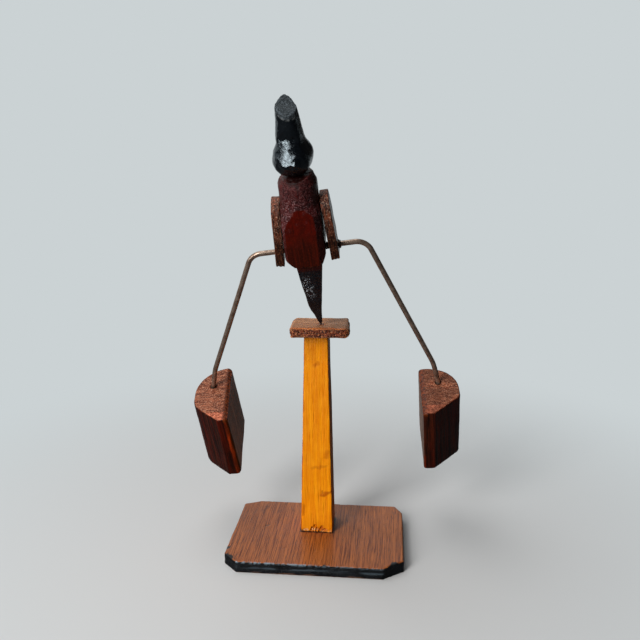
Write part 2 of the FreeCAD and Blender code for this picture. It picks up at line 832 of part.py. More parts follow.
def make_glue(torso, right_wing):
    along = Rotation(Z_AXIS, crossbar)
    outer = rod_meets(right_wing, float(D.wing_thickness))
    bead = doc.addObject("Part::Ellipsoid", "outer_bead")
    bind(bead, Radius1=D.bead_height, Radius2=D.bead_radius, Radius3=D.bead_radius)
    bead.Placement = Placement(outer, along)
    keep(cut("outer_glue", bead, right_wing, rod_tool("outer_glue_bore")),
         "outer_glue_bead", attitude)
    inner = rod_meets(right_wing, 0) - crossbar * (float(D.wing_thickness) / 2)
    filler = cylinder("inner_bead", D.gap_bead_radius, D.wing_thickness)
    filler.Placement = Placement(inner, along)
    keep(cut("inner_glue", filler, torso, right_wing, rod_tool("inner_glue_bore")),
         "inner_glue_bead", attitude)


def rod_tool(name):
    """The hole that the rod's straight top run takes through what it passes."""
    tool = cylinder(name, rod_bore, D.left_corner_reach + D.right_corner_reach)
    tool.Placement = Placement(left_arm[0], Rotation(Z_AXIS, crossbar))
    return tool


# The whole toy

make_base_board()
make_post()
make_perch()
make_post_screw()
make_bearing_nail()
make_pin_ball()
make_tail_pin()
make_tail()
torso = torso_block()
make_torso(torso, rod_tool("torso_rod_bore"))
dowel("neck_dowel", D.neck_dowel_diameter, D.neck_dowel_length,
      D.head_offset, D.torso_setback, torso_top)
dowel("tail_dowel", D.tail_dowel_diameter, D.tail_dowel_length,
      D.tail_top_offset, D.tail_dowel_setback, D.torso_bottom)
make_head()
left_wing = wing_board("left_wing", -1, D.left_hip_height, D.left_wing_foot,
                       D.left_wing_splay)
right_wing = wing_board("right_wing", 1, D.right_hip_height, D.right_wing_foot,
                        D.right_wing_splay)
for label, board in (("left_wing", left_wing), ("right_wing", right_wing)):
    keep(cut(label, board, rod_tool(label + "_rod_bore")), label, attitude)
make_balance_rod()
make_weight("left_weight", -1, left_arm)
make_weight("right_weight", 1, right_arm)
make_glue(torso, right_wing)
doc.recompute()


# Every object has to be sound before anything is written

for obj in doc.Objects:
    if "Invalid" in obj.State or "Error" in obj.State:
        raise RuntimeError("%s did not build: %s" % (obj.Label, obj.State))
for node in nodes:
    if node.Shape.isNull() or not node.Shape.isValid() or len(node.Shape.Solids) != 1:
        raise RuntimeError("%s is not one sound solid" % node.Label)


# The bird balances when its centre of mass lies straight below the pin's ball

WOOD = 600e-9
STEEL = 7850e-9
RESIN = 1100e-9
materials = {
    "tail_pin": STEEL, "tail": WOOD, "torso": WOOD, "neck_dowel": WOOD, "tail_dowel": WOOD,
    "head": WOOD, "left_wing": WOOD, "right_wing": WOOD, "balance_rod": STEEL,
    "left_weight": WOOD, "right_weight": WOOD, "outer_glue_bead": RESIN,
    "inner_glue_bead": RESIN,
}
mass = 0.0
moment = Vector()
for node in nodes:
    if node.Label in materials:
        share = node.Shape.Volume * materials[node.Label]
        mass += share
        moment += node.Shape.CenterOfGravity * share
centre = moment / mass - attitude.Base
print("bird: %.1f g, centre of mass %.2f %.2f %.2f mm from the ball"
      % (mass * 1000, centre.x, centre.y, centre.z))

os.makedirs("parts", exist_ok=True)
for node in nodes:
    node.Shape.exportStep("parts/%s.step" % node.Label)
    size = node.Shape.BoundBox
    print("%-16s volume %9.1f  x %7.2f %7.2f  y %7.2f %7.2f  z %7.2f %7.2f" % (
        node.Label, node.Shape.Volume, size.XMin, size.XMax, size.YMin, size.YMax,
        size.ZMin, size.ZMax))
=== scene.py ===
# %% [markdown]
# # A wooden balancing bird
#
# A carved bird stands on the pin in its tail, on a small board on top of a square post.
# Wooden weights hang below that point on one bent steel rod, so the bird always swings
# upright again when it is touched.
#
# The solids come from a CAD model that is loaded as a fixed frame. This lesson gives them
# their looks: whittled and sawn surfaces, varnish, paint and tarnished wire. Every piece
# is made where its solid stands and rides on the body that carries it, so the bird can
# still turn and rock.

# %% Load the frame
from math import cos, pi, radians, sin, tan

import bmesh
import bpy
from mathutils import Matrix, Vector, noise


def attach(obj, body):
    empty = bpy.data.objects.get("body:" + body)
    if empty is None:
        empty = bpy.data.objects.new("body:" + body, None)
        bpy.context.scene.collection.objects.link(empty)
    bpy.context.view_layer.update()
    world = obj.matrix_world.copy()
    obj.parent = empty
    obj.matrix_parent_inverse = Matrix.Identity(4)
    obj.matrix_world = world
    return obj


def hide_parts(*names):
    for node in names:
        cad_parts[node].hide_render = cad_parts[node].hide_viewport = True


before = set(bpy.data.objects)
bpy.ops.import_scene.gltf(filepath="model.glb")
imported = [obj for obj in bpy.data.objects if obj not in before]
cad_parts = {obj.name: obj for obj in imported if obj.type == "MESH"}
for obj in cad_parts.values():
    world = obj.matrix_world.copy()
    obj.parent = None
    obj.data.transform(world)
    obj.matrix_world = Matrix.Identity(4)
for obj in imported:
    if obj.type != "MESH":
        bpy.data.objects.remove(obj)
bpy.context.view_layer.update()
MM = 0.001

# %% [markdown]
# ## Two frames to work in
#
# The stand is square to the world, but the bird leans forward and a little to the left.
# Whittling it is easier when its body points straight up, so each helper below takes a
# home frame: the stand's own frame, or the bird's, whose origin is the point it stands on.
# Left and right are the viewer's all through this lesson.

# %% The home frames
POINT = Vector((1.8, 9.0, 144.7)) * MM
TURNED = 3.0
LEAN_LEFT = 5.9
LEAN_FORWARD = 24.0
STAND = Matrix.Identity(4)
BIRD = (
    Matrix.Translation(POINT)
    @ Matrix.Rotation(radians(TURNED), 4, "Z")
    @ Matrix.Rotation(radians(-LEAN_LEFT), 4, "Y")
    @ Matrix.Rotation(radians(LEAN_FORWARD), 4, "X")
)
print("The bird stands on a point", round(POINT.z / MM, 1), "mm up")

# %% [markdown]
# ## The camera
#
# The photograph was taken from a little above the bird's middle and a little to the
# right. A perspective camera with a 39 mm lens, placed 41 cm in front and looking 13
# degrees down, gives the same vanishing lines.

# %% The camera
EYE = Vector((42.28, -410.33, 243.57)) * MM
LOOK_LEFT = 5.603
LOOK_DOWN = 12.934
ROLL = -0.277
camera_data = bpy.data.cameras.new("camera")
camera_data.lens = 39.287
camera_data.sensor_width = 36.0
camera_data.clip_start = 0.01
camera = bpy.data.objects.new("camera", camera_data)
camera.matrix_world = (
    Matrix.Translation(EYE)
    @ Matrix.Rotation(radians(LOOK_LEFT), 4, "Z")
    @ Matrix.Rotation(radians(90 - LOOK_DOWN), 4, "X")
    @ Matrix.Rotation(radians(ROLL), 4, "Z")
)
bpy.context.scene.collection.objects.link(camera)
bpy.context.scene.camera = camera
bpy.context.scene.view_settings.view_transform = "Standard"
print("The camera stands", round(EYE.length, 2), "m from the base")

# %% [markdown]
# ## Short names for shader nodes
#
# Materials here are built from nodes in code. Small helpers keep that readable: they add
# any node and feed its inputs, do sums, and mix colours. Each gives back the socket that
# the next node needs. A finish is mostly colours laid over each other, each where its own
# mask says, so one helper takes such layers as a list.

# %% Node helpers
def add(tree, kind, feeds=(), out=0, **options):
    """Add a shader node, set its options and feed its inputs by name or number."""
    made = tree.nodes.new("ShaderNode" + kind)
    for name, value in options.items():
        setattr(made, name, value)
    for key, value in dict(feeds).items():
        if isinstance(value, bpy.types.NodeSocket):
            tree.links.new(value, made.inputs[key])
        else:
            made.inputs[key].default_value = value
    return made.outputs[out]


def calc(tree, operation, *values):
    """A sum of any kind that the Math node knows."""
    return add(tree, "Math", enumerate(values), operation=operation)


def remap(tree, value, low, high, to_low=0.0, to_high=1.0):
    """Stretch the span low to high onto to_low to to_high, with soft ends."""
    feeds = {0: value, 1: low, 2: high, 3: to_low, 4: to_high}
    return add(tree, "MapRange", feeds, interpolation_type="SMOOTHSTEP")


def mix(tree, factor, first, second):
    """The first colour where the factor is 0, and the second where it is 1."""
    feeds = {0: factor, 6: first, 7: second}
    return add(tree, "Mix", feeds, out=2, data_type="RGBA")


def colour(red, green, blue):
    """A colour given as the 0 to 255 numbers that a paint chart uses."""
    def linear(value):
        share = value / 255
        return share / 12.92 if share <= 0.04045 else ((share + 0.055) / 1.055) ** 2.4
    return linear(red), linear(green), linear(blue), 1.0


def layered(tree, base, *layers):
    """Lay colours over a base, each given as its mask, its strength and its colour."""
    for mask, strength, tint in layers:
        factor = mask if strength == 1 else calc(tree, "MULTIPLY", mask, strength)
        base = mix(tree, factor, base, tint)
    return base


def plus(tree, value, mask, share):
    """A value that a mask raises by up to a share."""
    return calc(tree, "ADD", value, calc(tree, "MULTIPLY", mask, share))


print("A mid grey of 128 is", round(colour(128, 128, 128)[0], 3), "in linear light")

# %% [markdown]
# ## Node groups
#
# Several finishes need the same effects. Each effect is one node group with named inputs
# and outputs, and every material places it with its own values.

# %% Helpers that open and place a group
def new_group(name, inputs, outputs):
    """Make a group with float inputs and a Vector, and give its tree and both ends."""
    group = bpy.data.node_groups.new(name, "ShaderNodeTree")
    group.interface.new_socket("Vector", in_out="INPUT", socket_type="NodeSocketVector")
    for title, value in inputs.items():
        socket = group.interface.new_socket(
            title, in_out="INPUT", socket_type="NodeSocketFloat")
        socket.default_value = value
    for title in outputs:
        group.interface.new_socket(title, in_out="OUTPUT", socket_type="NodeSocketFloat")
    start = group.nodes.new("NodeGroupInput").outputs
    end = group.nodes.new("NodeGroupOutput").inputs
    return group, start, end


def use(tree, group, vector, **values):
    """Place a group in a material, and give its outputs by name."""
    made = tree.nodes.new("ShaderNodeGroup")
    made.node_tree = group
    tree.links.new(vector, made.inputs["Vector"])
    for name, value in values.items():
        made.inputs[name.replace("_", " ").capitalize()].default_value = value
    return made.outputs


print("Groups take a position in millimetres")

# %% [markdown]
# ### Wood grain
#
# Wood is a bundle of long fibres along the trunk, laid down in rings. A solid texture
# stretched along one axis shows rings and pores on a sawn end, and lines and dashes on a
# side, as real wood does, with no seams at the edges. Growth rings come from a saw-shaped
# ring wave, fibres from stretched noise, and pores from the cores of stretched cells.
# Noise stays near its middle value, so the fibres are spread out to full contrast. A
# slower noise lets them waver a little, because no real fibre runs quite straight.

# %% The grain group
def stretched(tree, vector, length):
    """Squeeze the position along the grain, which makes what is drawn there longer."""
    sizes = add(tree, "CombineXYZ", {0: 1.0, 1: 1.0, 2: per(tree, length)})
    return add(tree, "VectorMath", {0: vector, 1: sizes}, operation="MULTIPLY")


def per(tree, size):
    """The texture scale at which a feature is about as wide as the given size."""
    return calc(tree, "DIVIDE", 1.0, size)


grain_group, start, end = new_group(
    "wood grain",
    {"Ring width": 3.0, "Wander": 1.5, "Fibre width": 1.0, "Fibre length": 25.0,
     "Pore spacing": 1.6},
    ["Rings", "Fibre", "Pores", "Height"],
)
tree = grain_group
drift = add(tree, "TexNoise", {
    "Vector": stretched(tree, start["Vector"], 14), "Scale": 0.12, "Detail": 2.0}, out=1)
drift = add(tree, "VectorMath", {0: drift, 1: (0.5, 0.5, 0.5)}, operation="SUBTRACT")
drift = add(tree, "VectorMath", {0: drift, "Scale": start["Wander"]}, operation="SCALE")
bent = add(tree, "VectorMath", {
    0: stretched(tree, start["Vector"], 20), 1: drift}, operation="ADD")
rings = add(tree, "TexWave", {
    "Vector": bent,
    "Scale": calc(tree, "DIVIDE", pi / 10, start["Ring width"]),
    "Distortion": 1.2,
    "Detail": 2.0,
}, out=1, wave_type="RINGS", rings_direction="Z", wave_profile="SAW")
waver = add(tree, "TexNoise", {
    "Vector": stretched(tree, start["Vector"], 7), "Scale": 0.12}, out=1)
waver = add(tree, "VectorMath", {0: waver, 1: (0.5, 0.5, 0.5)}, operation="SUBTRACT")
waver = add(tree, "VectorMath", {0: waver, 1: (3.0, 3.0, 0.0)}, operation="MULTIPLY")
wavy = add(tree, "VectorMath", {
    0: stretched(tree, start["Vector"], start["Fibre length"]), 1: waver}, operation="ADD")
fibre = add(tree, "TexNoise", {
    "Vector": wavy,
    "Scale": per(tree, start["Fibre width"]),
    "Detail": 4.0,
    "Roughness": 0.65,
})
fibre = remap(tree, fibre, 0.36, 0.64)
cells = add(tree, "TexVoronoi", {
    "Vector": stretched(tree, start["Vector"], 9),
    "Scale": per(tree, start["Pore spacing"]),
})
pores = remap(tree, cells, 0.14, 0.34, 1.0, 0.0)
raised = calc(tree, "SUBTRACT", calc(tree, "MULTIPLY", fibre, 0.5), pores)
for title, socket in zip(("Rings", "Fibre", "Pores", "Height"), (rings, fibre, pores, raised)):
    tree.links.new(socket, end[title])
print("Made the group", grain_group.name)

# %% [markdown]
# ### Saw marks
#
# A handsaw across the grain tears short rows into the wood, with deeper pits where fibres
# broke out. The rows run along the texture's X. Like the grain, they are noise with its
# contrast spread, and the pits are the cores of cells.

# %% The saw group
saw_group, start, end = new_group(
    "saw marks", {"Row spacing": 1.3, "Row length": 4.0}, ["Rows", "Pits", "Height"])
tree = saw_group
squeezed = add(tree, "VectorMath", {
    0: start["Vector"],
    1: add(tree, "CombineXYZ", {0: per(tree, start["Row length"]), 1: 1.0, 2: 0.3}),
}, operation="MULTIPLY")
rows = add(tree, "TexNoise", {
    "Vector": squeezed,
    "Scale": per(tree, start["Row spacing"]),
    "Detail": 3.0,
    "Roughness": 0.6,
})
rows = remap(tree, rows, 0.38, 0.62)
holes = add(tree, "TexVoronoi", {
    "Vector": start["Vector"], "Scale": calc(tree, "DIVIDE", 0.8, start["Row spacing"])})
holes = remap(tree, holes, 0.16, 0.36, 1.0, 0.0)
pits = calc(tree, "MULTIPLY", holes, calc(tree, "SUBTRACT", 1.0, rows))
tree.links.new(rows, end["Rows"])
tree.links.new(pits, end["Pits"])
tree.links.new(calc(tree, "SUBTRACT", rows, pits), end["Height"])
print("Made the group", saw_group.name)

# %% [markdown]
# ### Crossed scratches
#
# A rasp or coarse sandpaper leaves fine lines in two slanting directions. Each direction
# is noise turned about the upright axis of the facet and stretched, and only its peaks
# are kept, as separate short lines.

# %% The scratch group
scratch_group, start, end = new_group(
    "crossed scratches", {"Scratch width": 0.8, "Scratch length": 7.0}, ["Scratches"])
tree = scratch_group
layers = []
for angle in (64, -58):
    turned = add(tree, "VectorRotate", {
        "Vector": start["Vector"], "Angle": radians(angle)}, rotation_type="Y_AXIS")
    squeezed = add(tree, "VectorMath", {
        0: turned,
        1: add(tree, "CombineXYZ", {0: 1.0, 1: 1.0, 2: per(tree, start["Scratch length"])}),
    }, operation="MULTIPLY")
    lines = add(tree, "TexNoise", {
        "Vector": squeezed, "Scale": per(tree, start["Scratch width"]), "Detail": 1.0})
    layers.append(remap(tree, lines, 0.5, 0.68))
tree.links.new(calc(tree, "MAXIMUM", *layers), end["Scratches"])
print("Made the group", scratch_group.name)

# %% [markdown]
# ### Handling marks
#
# Old varnish is never even. Hands leave broad dull patches, and dust sticks as small pale
# specks. One noise at two scales gives both: a broad mottle, and specks where a finer
# noise peaks.

# %% The handling group
handling_group, start, end = new_group(
    "handling marks", {"Patch size": 9.0, "Speck size": 0.5, "Speck share": 0.3},
    ["Patches", "Specks"],
)
tree = handling_group
patches = add(tree, "TexNoise", {
    "Vector": start["Vector"],
    "Scale": per(tree, start["Patch size"]),
    "Detail": 5.0,
    "Roughness": 0.6,
})
peaks = add(tree, "TexNoise", {
    "Vector": start["Vector"],
    "Scale": per(tree, start["Speck size"]),
    "Detail": 2.0,
})
edge = calc(tree, "SUBTRACT", 0.8, calc(tree, "MULTIPLY", start["Speck share"], 0.4))
specks = remap(tree, calc(tree, "SUBTRACT", peaks, edge), 0.0, 0.08)
tree.links.new(remap(tree, patches, 0.3, 0.7), end["Patches"])
tree.links.new(specks, end["Specks"])
print("Made the group", handling_group.name)

# %% [markdown]
# ### Worn edges
#
# Varnish and paint rub off where a piece is touched first: along its edges. Cycles knows
# how sharply a surface turns at each point, and calls that pointiness. Broken up with
# noise, it gives a mask for rubbed edges that doesn't look drawn with a ruler.

# %% The edge wear group
wear_group, start, end = new_group(
    "edge wear", {"Amount": 0.5, "Patch size": 1.5}, ["Worn"])
tree = wear_group
turning = add(tree, "NewGeometry", out="Pointiness")
rubbed = add(tree, "TexNoise", {
    "Vector": start["Vector"],
    "Scale": per(tree, start["Patch size"]),
    "Detail": 4.0,
    "Roughness": 0.65,
})
sharp = remap(tree, turning, 0.5, 0.6)
broken = calc(tree, "MULTIPLY", sharp, remap(tree, rubbed, 0.35, 0.65))
tree.links.new(
    remap(tree, calc(tree, "MULTIPLY", broken, start["Amount"]), 0.05, 0.5), end["Worn"])
print("Made the group", wear_group.name)

# %% [markdown]
# ### Brush and dry wrinkles
#
# Thick varnish and paint dry with a skin that wrinkles and keeps the brush's strokes. The
# group gives only a height, and each material feeds it to a Bump node with its own depth.

# %% The wrinkle group
wrinkle_group, start, end = new_group(
    "dry wrinkles", {"Wrinkle size": 1.5, "Stroke length": 3.0}, ["Height"])
tree = wrinkle_group
along = add(tree, "CombineXYZ", {0: 1.0, 1: 1.0, 2: per(tree, start["Stroke length"])})
place = add(tree, "VectorMath", {0: start["Vector"], 1: along}, operation="MULTIPLY")
folds = add(tree, "TexNoise", {
    "Vector": place,
    "Scale": per(tree, start["Wrinkle size"]),
    "Detail": 4.0,
    "Roughness": 0.55,
    "Distortion": 1.2,
})
ridges = calc(tree, "ABSOLUTE", calc(tree, "SUBTRACT", folds, 0.5))
tree.links.new(calc(tree, "MULTIPLY", ridges, 3.0), end["Height"])
print("Made the group", wrinkle_group.name)

# %% [markdown]
# ## Opening a material
#
# Every finish starts the same way: a Principled BSDF, and the object's own position in
# millimetres, turned so that the grain runs along the texture's Z. Position comes from
# the object itself, so the pattern moves with the piece.

# %% Open a material
GRAIN_TURN = {
    "X": Matrix.Rotation(radians(-90), 3, "Y"),
    "Y": Matrix.Rotation(radians(90), 3, "X"),
    "Z": Matrix.Identity(3),
}


def open_material(name, home=STAND, grain="Z", shift=(0, 0, 0), **constants):
    """A new material, its tree, its shader and the position that textures use."""
    material = bpy.data.materials.new(name)
    material.use_nodes = True
    tree = material.node_tree
    shader = tree.nodes["Principled BSDF"]
    for title, value in constants.items():
        shader.inputs[title.replace("_", " ")].default_value = value
    scaled = add(tree, "VectorMath", {
        0: add(tree, "TexCoord", out="Object"), "Scale": 1 / MM}, operation="SCALE")
    turn = GRAIN_TURN[grain] @ home.to_3x3().inverted()
    turned = add(tree, "Mapping", {
        "Vector": scaled, "Location": shift, "Rotation": turn.to_euler("XYZ")})
    return material, tree, shader, turned


def finish_material(tree, shader, base, roughness, height, depth):
    """Feed colour and roughness, and press the height in by so many millimetres."""
    tree.links.new(base, shader.inputs["Base Color"])
    tree.links.new(roughness, shader.inputs["Roughness"])
    bump = add(tree, "Bump", {"Height": height, "Distance": depth * MM, "Strength": 1.0})
    tree.links.new(bump, shader.inputs["Normal"])


def painted(tree, name):
    """A mask that was painted on the piece's vertices."""
    return add(tree, "Attribute", out="Fac", attribute_name=name)


print("Materials start from", "object position in millimetres")

# %% [markdown]
# ## Whittling helpers
#
# Hand-made wood has no perfectly straight edge. Each wooden piece starts as a copy of its
# solid, is rebuilt as a fine even skin of small squares, and then every vertex is moved a
# little by a rule. The even skin rounds sharp edges by about one square, as a few strokes
# of sandpaper do, and a rule can press dents, splits and saw marks into it.

# %% Copy a solid as a fine skin
def fresh_mesh(piece):
    """Put a piece's modifiers into its mesh."""
    graph = bpy.context.evaluated_depsgraph_get()
    mesh = bpy.data.meshes.new_from_object(piece.evaluated_get(graph))
    old = piece.data
    piece.modifiers.clear()
    piece.data = mesh
    bpy.data.meshes.remove(old)


def new_piece(name, mesh):
    """A mesh put into the scene as an object."""
    piece = bpy.data.objects.new(name, mesh)
    bpy.context.scene.collection.objects.link(piece)
    return piece


def fine_skin(piece, voxel, rounds=2):
    """Rebuild a closed mesh with even squares of so many millimetres, slightly smoothed."""
    skin = piece.modifiers.new("skin", "REMESH")
    skin.mode = "VOXEL"
    skin.voxel_size = voxel * MM
    skin.use_smooth_shade = True
    ease = piece.modifiers.new("ease", "SMOOTH")
    ease.factor = 0.5
    ease.iterations = rounds
    fresh_mesh(piece)
    return piece


def skin_of(node, name, voxel, rounds=2):
    """A fine skin over a CAD node, as a new piece that stands for it."""
    form = bmesh.new()
    form.from_mesh(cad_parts[node].data)
    bmesh.ops.remove_doubles(form, verts=form.verts, dist=0.001 * MM)
    mesh = bpy.data.meshes.new(name)
    form.to_mesh(mesh)
    form.free()
    piece = fine_skin(new_piece(name, mesh), voxel, rounds)
    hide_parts(node)
    return piece


print("A fine skin of 0.5 mm squares has", round(0.5 ** -2), "vertices in a square millimetre")

# %% [markdown]
# ### Rules that move and paint vertices
#
# A rule is a function of a point and its normal, in millimetres in the piece's home
# frame. Carving adds the move that the rule gives. Painting stores the number that it
# gives, as a named mask for the material. Marks are lists of dents and scratches. Every
# piece is carved once and then gets its masks, so one call does both.

# %% Carve, paint and mark
def in_home(piece, home):
    """Each vertex with its point and normal in the home frame, in millimetres."""
    into = home.inverted()
    turn = into.to_3x3()
    for vertex in piece.data.vertices:
        yield vertex, (into @ vertex.co) / MM, turn @ vertex.normal


def carve(piece, home, rule):
    """Move every vertex by what the rule gives for it."""
    back = home.to_3x3() * MM
    moves = [back @ rule(point, normal) for _, point, normal in in_home(piece, home)]
    for vertex, move in zip(piece.data.vertices, moves):
        vertex.co += move
    piece.data.update()


def paint(piece, home, name, rule):
    """Store the rule's number for every vertex, as a named mask."""
    layer = piece.data.attributes.new(name, "FLOAT", "POINT")
    values = [rule(point, normal) for _, point, normal in in_home(piece, home)]
    layer.data.foreach_set("value", values)


def work(piece, home, rule, **masks):
    """Carve a piece by its rule, then paint each named mask by its own."""
    carve(piece, home, rule)
    for name, mask in masks.items():
        paint(piece, home, name.replace("_", " "), mask)


def ripple(point, size, seed=0.0, stretch=(1, 1, 1)):
    """Smooth noise from -1 to 1 whose bumps are about so many millimetres wide."""
    place = Vector(a / (size * b) + seed for a, b in zip(point, stretch))
    return noise.noise(place)


def off_line(point, start, end):
    """How far a point lies from a stroke between two points."""
    run = end - start
    share = max(0.0, min(1.0, (point - start).dot(run) / run.length_squared))
    return (point - start - run * share).length


def step(value, low, high):
    """0 below low, 1 above high, and smooth between them."""
    share = max(0.0, min(1.0, (value - low) / (high - low)))
    return share * share * (3 - 2 * share)


def marked(point, marks):
    """How deep a list of strokes (start, end, half width, depth) presses in at a point."""
    deepest = 0.0
    for start, end, half, depth in marks:
        away = off_line(point, Vector(start), Vector(end)) / half
        if away < 1:
            deepest = max(deepest, depth * (1 - away * away))
    return deepest


def settle(piece, body, slot, *materials):
    """Give a finished piece its materials and its place on a body."""
    for material in materials:
        piece.data.materials.append(material)
    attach(piece, body)
    print(piece.name, "has", len(piece.data.vertices), "vertices and rides on", body)


print("A stroke's middle is pressed in by", marked(Vector(), [((-1, 0, 0), (1, 0, 0), 1, 0.5)]))

# %% [markdown]
# ## The room
#
# The object stands on a pale floor in soft daylight, with a pale wall behind it and to
# the left. The rest is a dim room. Dark varnish shows that difference more than any lamp
# does: what faces the wall looks milky, and what faces the room looks deep.
#
# The camera sees the pale backdrop everywhere. A shiny surface sees it wherever it looks
# to the back. The floor takes the object's shadow near by and fades into the backdrop
# further out, so no horizon line crosses the picture.

# %% World and floor
BACKDROP = colour(203, 210, 212)
WALL_LIGHT = (0.50, 0.53, 0.55, 1.0)
ROOM = (0.036, 0.033, 0.031, 1.0)
WALL_SIDE = (-0.75, 0.66, 0.0)
FLOOR_PAINT = (0.64, 0.645, 0.65, 1.0)
FLOOR_BOUNCE = (0.08, 0.082, 0.085, 1.0)
FLOOR_RADIUS = 8.0


def shows_backdrop(tree, behind):
    """1 for rays from the camera, and for those from a gloss or clear glass to the back."""
    rays = tree.nodes.new("ShaderNodeLightPath").outputs
    shiny = calc(tree, "MAXIMUM", rays["Is Glossy Ray"], rays["Is Transmission Ray"])
    return calc(tree, "MAXIMUM", rays["Is Camera Ray"], calc(tree, "MULTIPLY", shiny, behind))


world = bpy.data.worlds.new("daylight")
bpy.context.scene.world = world
world.use_nodes = True
tree = world.node_tree
direction = add(tree, "TexCoord", out="Generated")
backward = add(tree, "VectorMath", {0: direction, 1: WALL_SIDE}, out="Value",
               operation="DOT_PRODUCT")
behind = remap(tree, backward, 0.1, 0.75)
lit = mix(tree, behind, ROOM, WALL_LIGHT)
seen = mix(tree, shows_backdrop(tree, behind), lit, BACKDROP)
tree.links.new(seen, tree.nodes["Background"].inputs["Color"])

form = bmesh.new()
bmesh.ops.create_circle(form, cap_ends=True, segments=96, radius=FLOOR_RADIUS)
mesh = bpy.data.meshes.new("floor")
form.to_mesh(mesh)
form.free()
floor = new_piece("floor", mesh)

material = bpy.data.materials.new("pale floor")
material.use_nodes = True
tree = material.node_tree
position = add(tree, "TexCoord", out="Object")
behind = remap(tree, add(tree, "SeparateXYZ", {0: position}, out="Y"), 0.4, 1.0)
seen = shows_backdrop(tree, behind)
reach = add(tree, "VectorMath", {0: position}, out="Value", operation="LENGTH")
far = calc(tree, "MULTIPLY", seen, remap(tree, reach, 0.04, 0.42))
dull = add(tree, "BsdfDiffuse", {"Color": mix(tree, seen, FLOOR_BOUNCE, FLOOR_PAINT)})
glow = add(tree, "Emission", {"Color": BACKDROP})
shown = add(tree, "MixShader", {0: far, 1: dull, 2: glow})
tree.links.new(shown, tree.nodes["Material Output"].inputs["Surface"])
mesh.materials.append(material)
print("The floor is a disc", 2 * FLOOR_RADIUS, "m across")

# %% [markdown]
# ## Daylight
#
# The photograph's light comes through a tall window behind the photographer's left
# shoulder, with more from above. Two large area lamps stand in for that. Their size keeps
# every shadow soft, and the first one also makes the bright patch on the painted head.

# %% Lamps
def lamp(name, size, power, place, target):
    """A rectangular area lamp of so many metres that faces a target."""
    data = bpy.data.lights.new(name, "AREA")
    data.shape = "RECTANGLE"
    data.size, data.size_y = size
    data.energy = power
    data.color = (1.0, 0.99, 0.97)
    made = bpy.data.objects.new(name, data)
    made.location = place
    aim = (Vector(target) - Vector(place)).to_track_quat("-Z", "Y")
    made.rotation_euler = aim.to_euler()
    bpy.context.scene.collection.objects.link(made)
    print(name, "gives", power, "W")


MIDDLE = (0.0, 0.0, 0.16)
lamp("window", (0.55, 1.25), 27.0, (-0.75, -1.15, 0.62), MIDDLE)
lamp("sky", (0.9, 0.9), 6.0, (-0.35, 0.15, 1.25), MIDDLE)

# %% [markdown]
# ## Finish: stained base board
#
# The board is open-grained wood under a thin reddish-brown stain, and its cut edges are
# painted blue-black. The paint is thin: along the lower front edge bare wood shows, and
# the upper front edge has pale blue-grey specks and lines, partly scraped paint and partly
# a painted highlight. One material holds both, because paint and stain meet in a ragged
# line that a painted mask follows better than an edge of the mesh could.

# %% The base board's material
base_finish, tree, shader, place = open_material(
    "stained board", grain="Y", Specular_IOR_Level=0.35, Coat_Weight=0.3,
    Coat_Roughness=0.16)
grain = use(tree, grain_group, place, ring_width=6, wander=2.5, fibre_width=0.43,
            fibre_length=85, pore_spacing=1.1)
streaks = use(tree, grain_group, place, ring_width=9, wander=3.0, fibre_width=1.4,
              fibre_length=70, pore_spacing=3.0)
marks = use(tree, handling_group, place, patch_size=16, speck_size=0.6, speck_share=0.25)
dark_lines = calc(tree, "MULTIPLY", grain["Fibre"], grain["Fibre"])
stain = layered(
    tree, mix(tree, marks["Patches"], colour(182, 102, 40), colour(188, 110, 54)),
    (grain["Rings"], 0.3, colour(132, 68, 30)),
    (dark_lines, 1, colour(88, 36, 14)),
    (streaks["Fibre"], 0.3, colour(112, 54, 24)),
    (grain["Pores"], 0.35, colour(50, 22, 12)))
black = layered(
    tree, mix(tree, marks["Patches"], colour(4, 6, 9), colour(12, 16, 21)),
    # Pale blue-grey specks on the black: partly worn flecks, partly painted glints
    (marks["Specks"], 0.5, colour(60, 72, 80)))
edge = painted(tree, "edge paint")
base = layered(
    tree, stain,
    (edge, 1, black),
    # Pale blue-grey along the upper front edge: partly scraped paint, partly a painted highlight
    (painted(tree, "frosted"), 1, colour(116, 134, 146)),
    (painted(tree, "bare"), 1, mix(
        tree, grain["Fibre"], colour(128, 92, 70), colour(70, 50, 42))),
    # Dark brown round the post's foot: dirt and varnish, with painted shade in the corner
    (painted(tree, "grime"), 1, colour(38, 16, 8)))
rough = plus(tree, plus(tree, 0.4, marks["Patches"], 0.16), edge, -0.12)
finish_material(tree, shader, base, rough, grain["Height"], 0.12)
print("Made", base_finish.name)

# %% [markdown]
# ## The base board
#
# A sawn rectangle with its corners knifed off. The sides wander by a few tenths of a
# millimetre, small chips are gone from the upper edge, and a scratch shaped like a tiny
# bird's foot lies left of the post. The sides are painted, with a ragged upper limit.

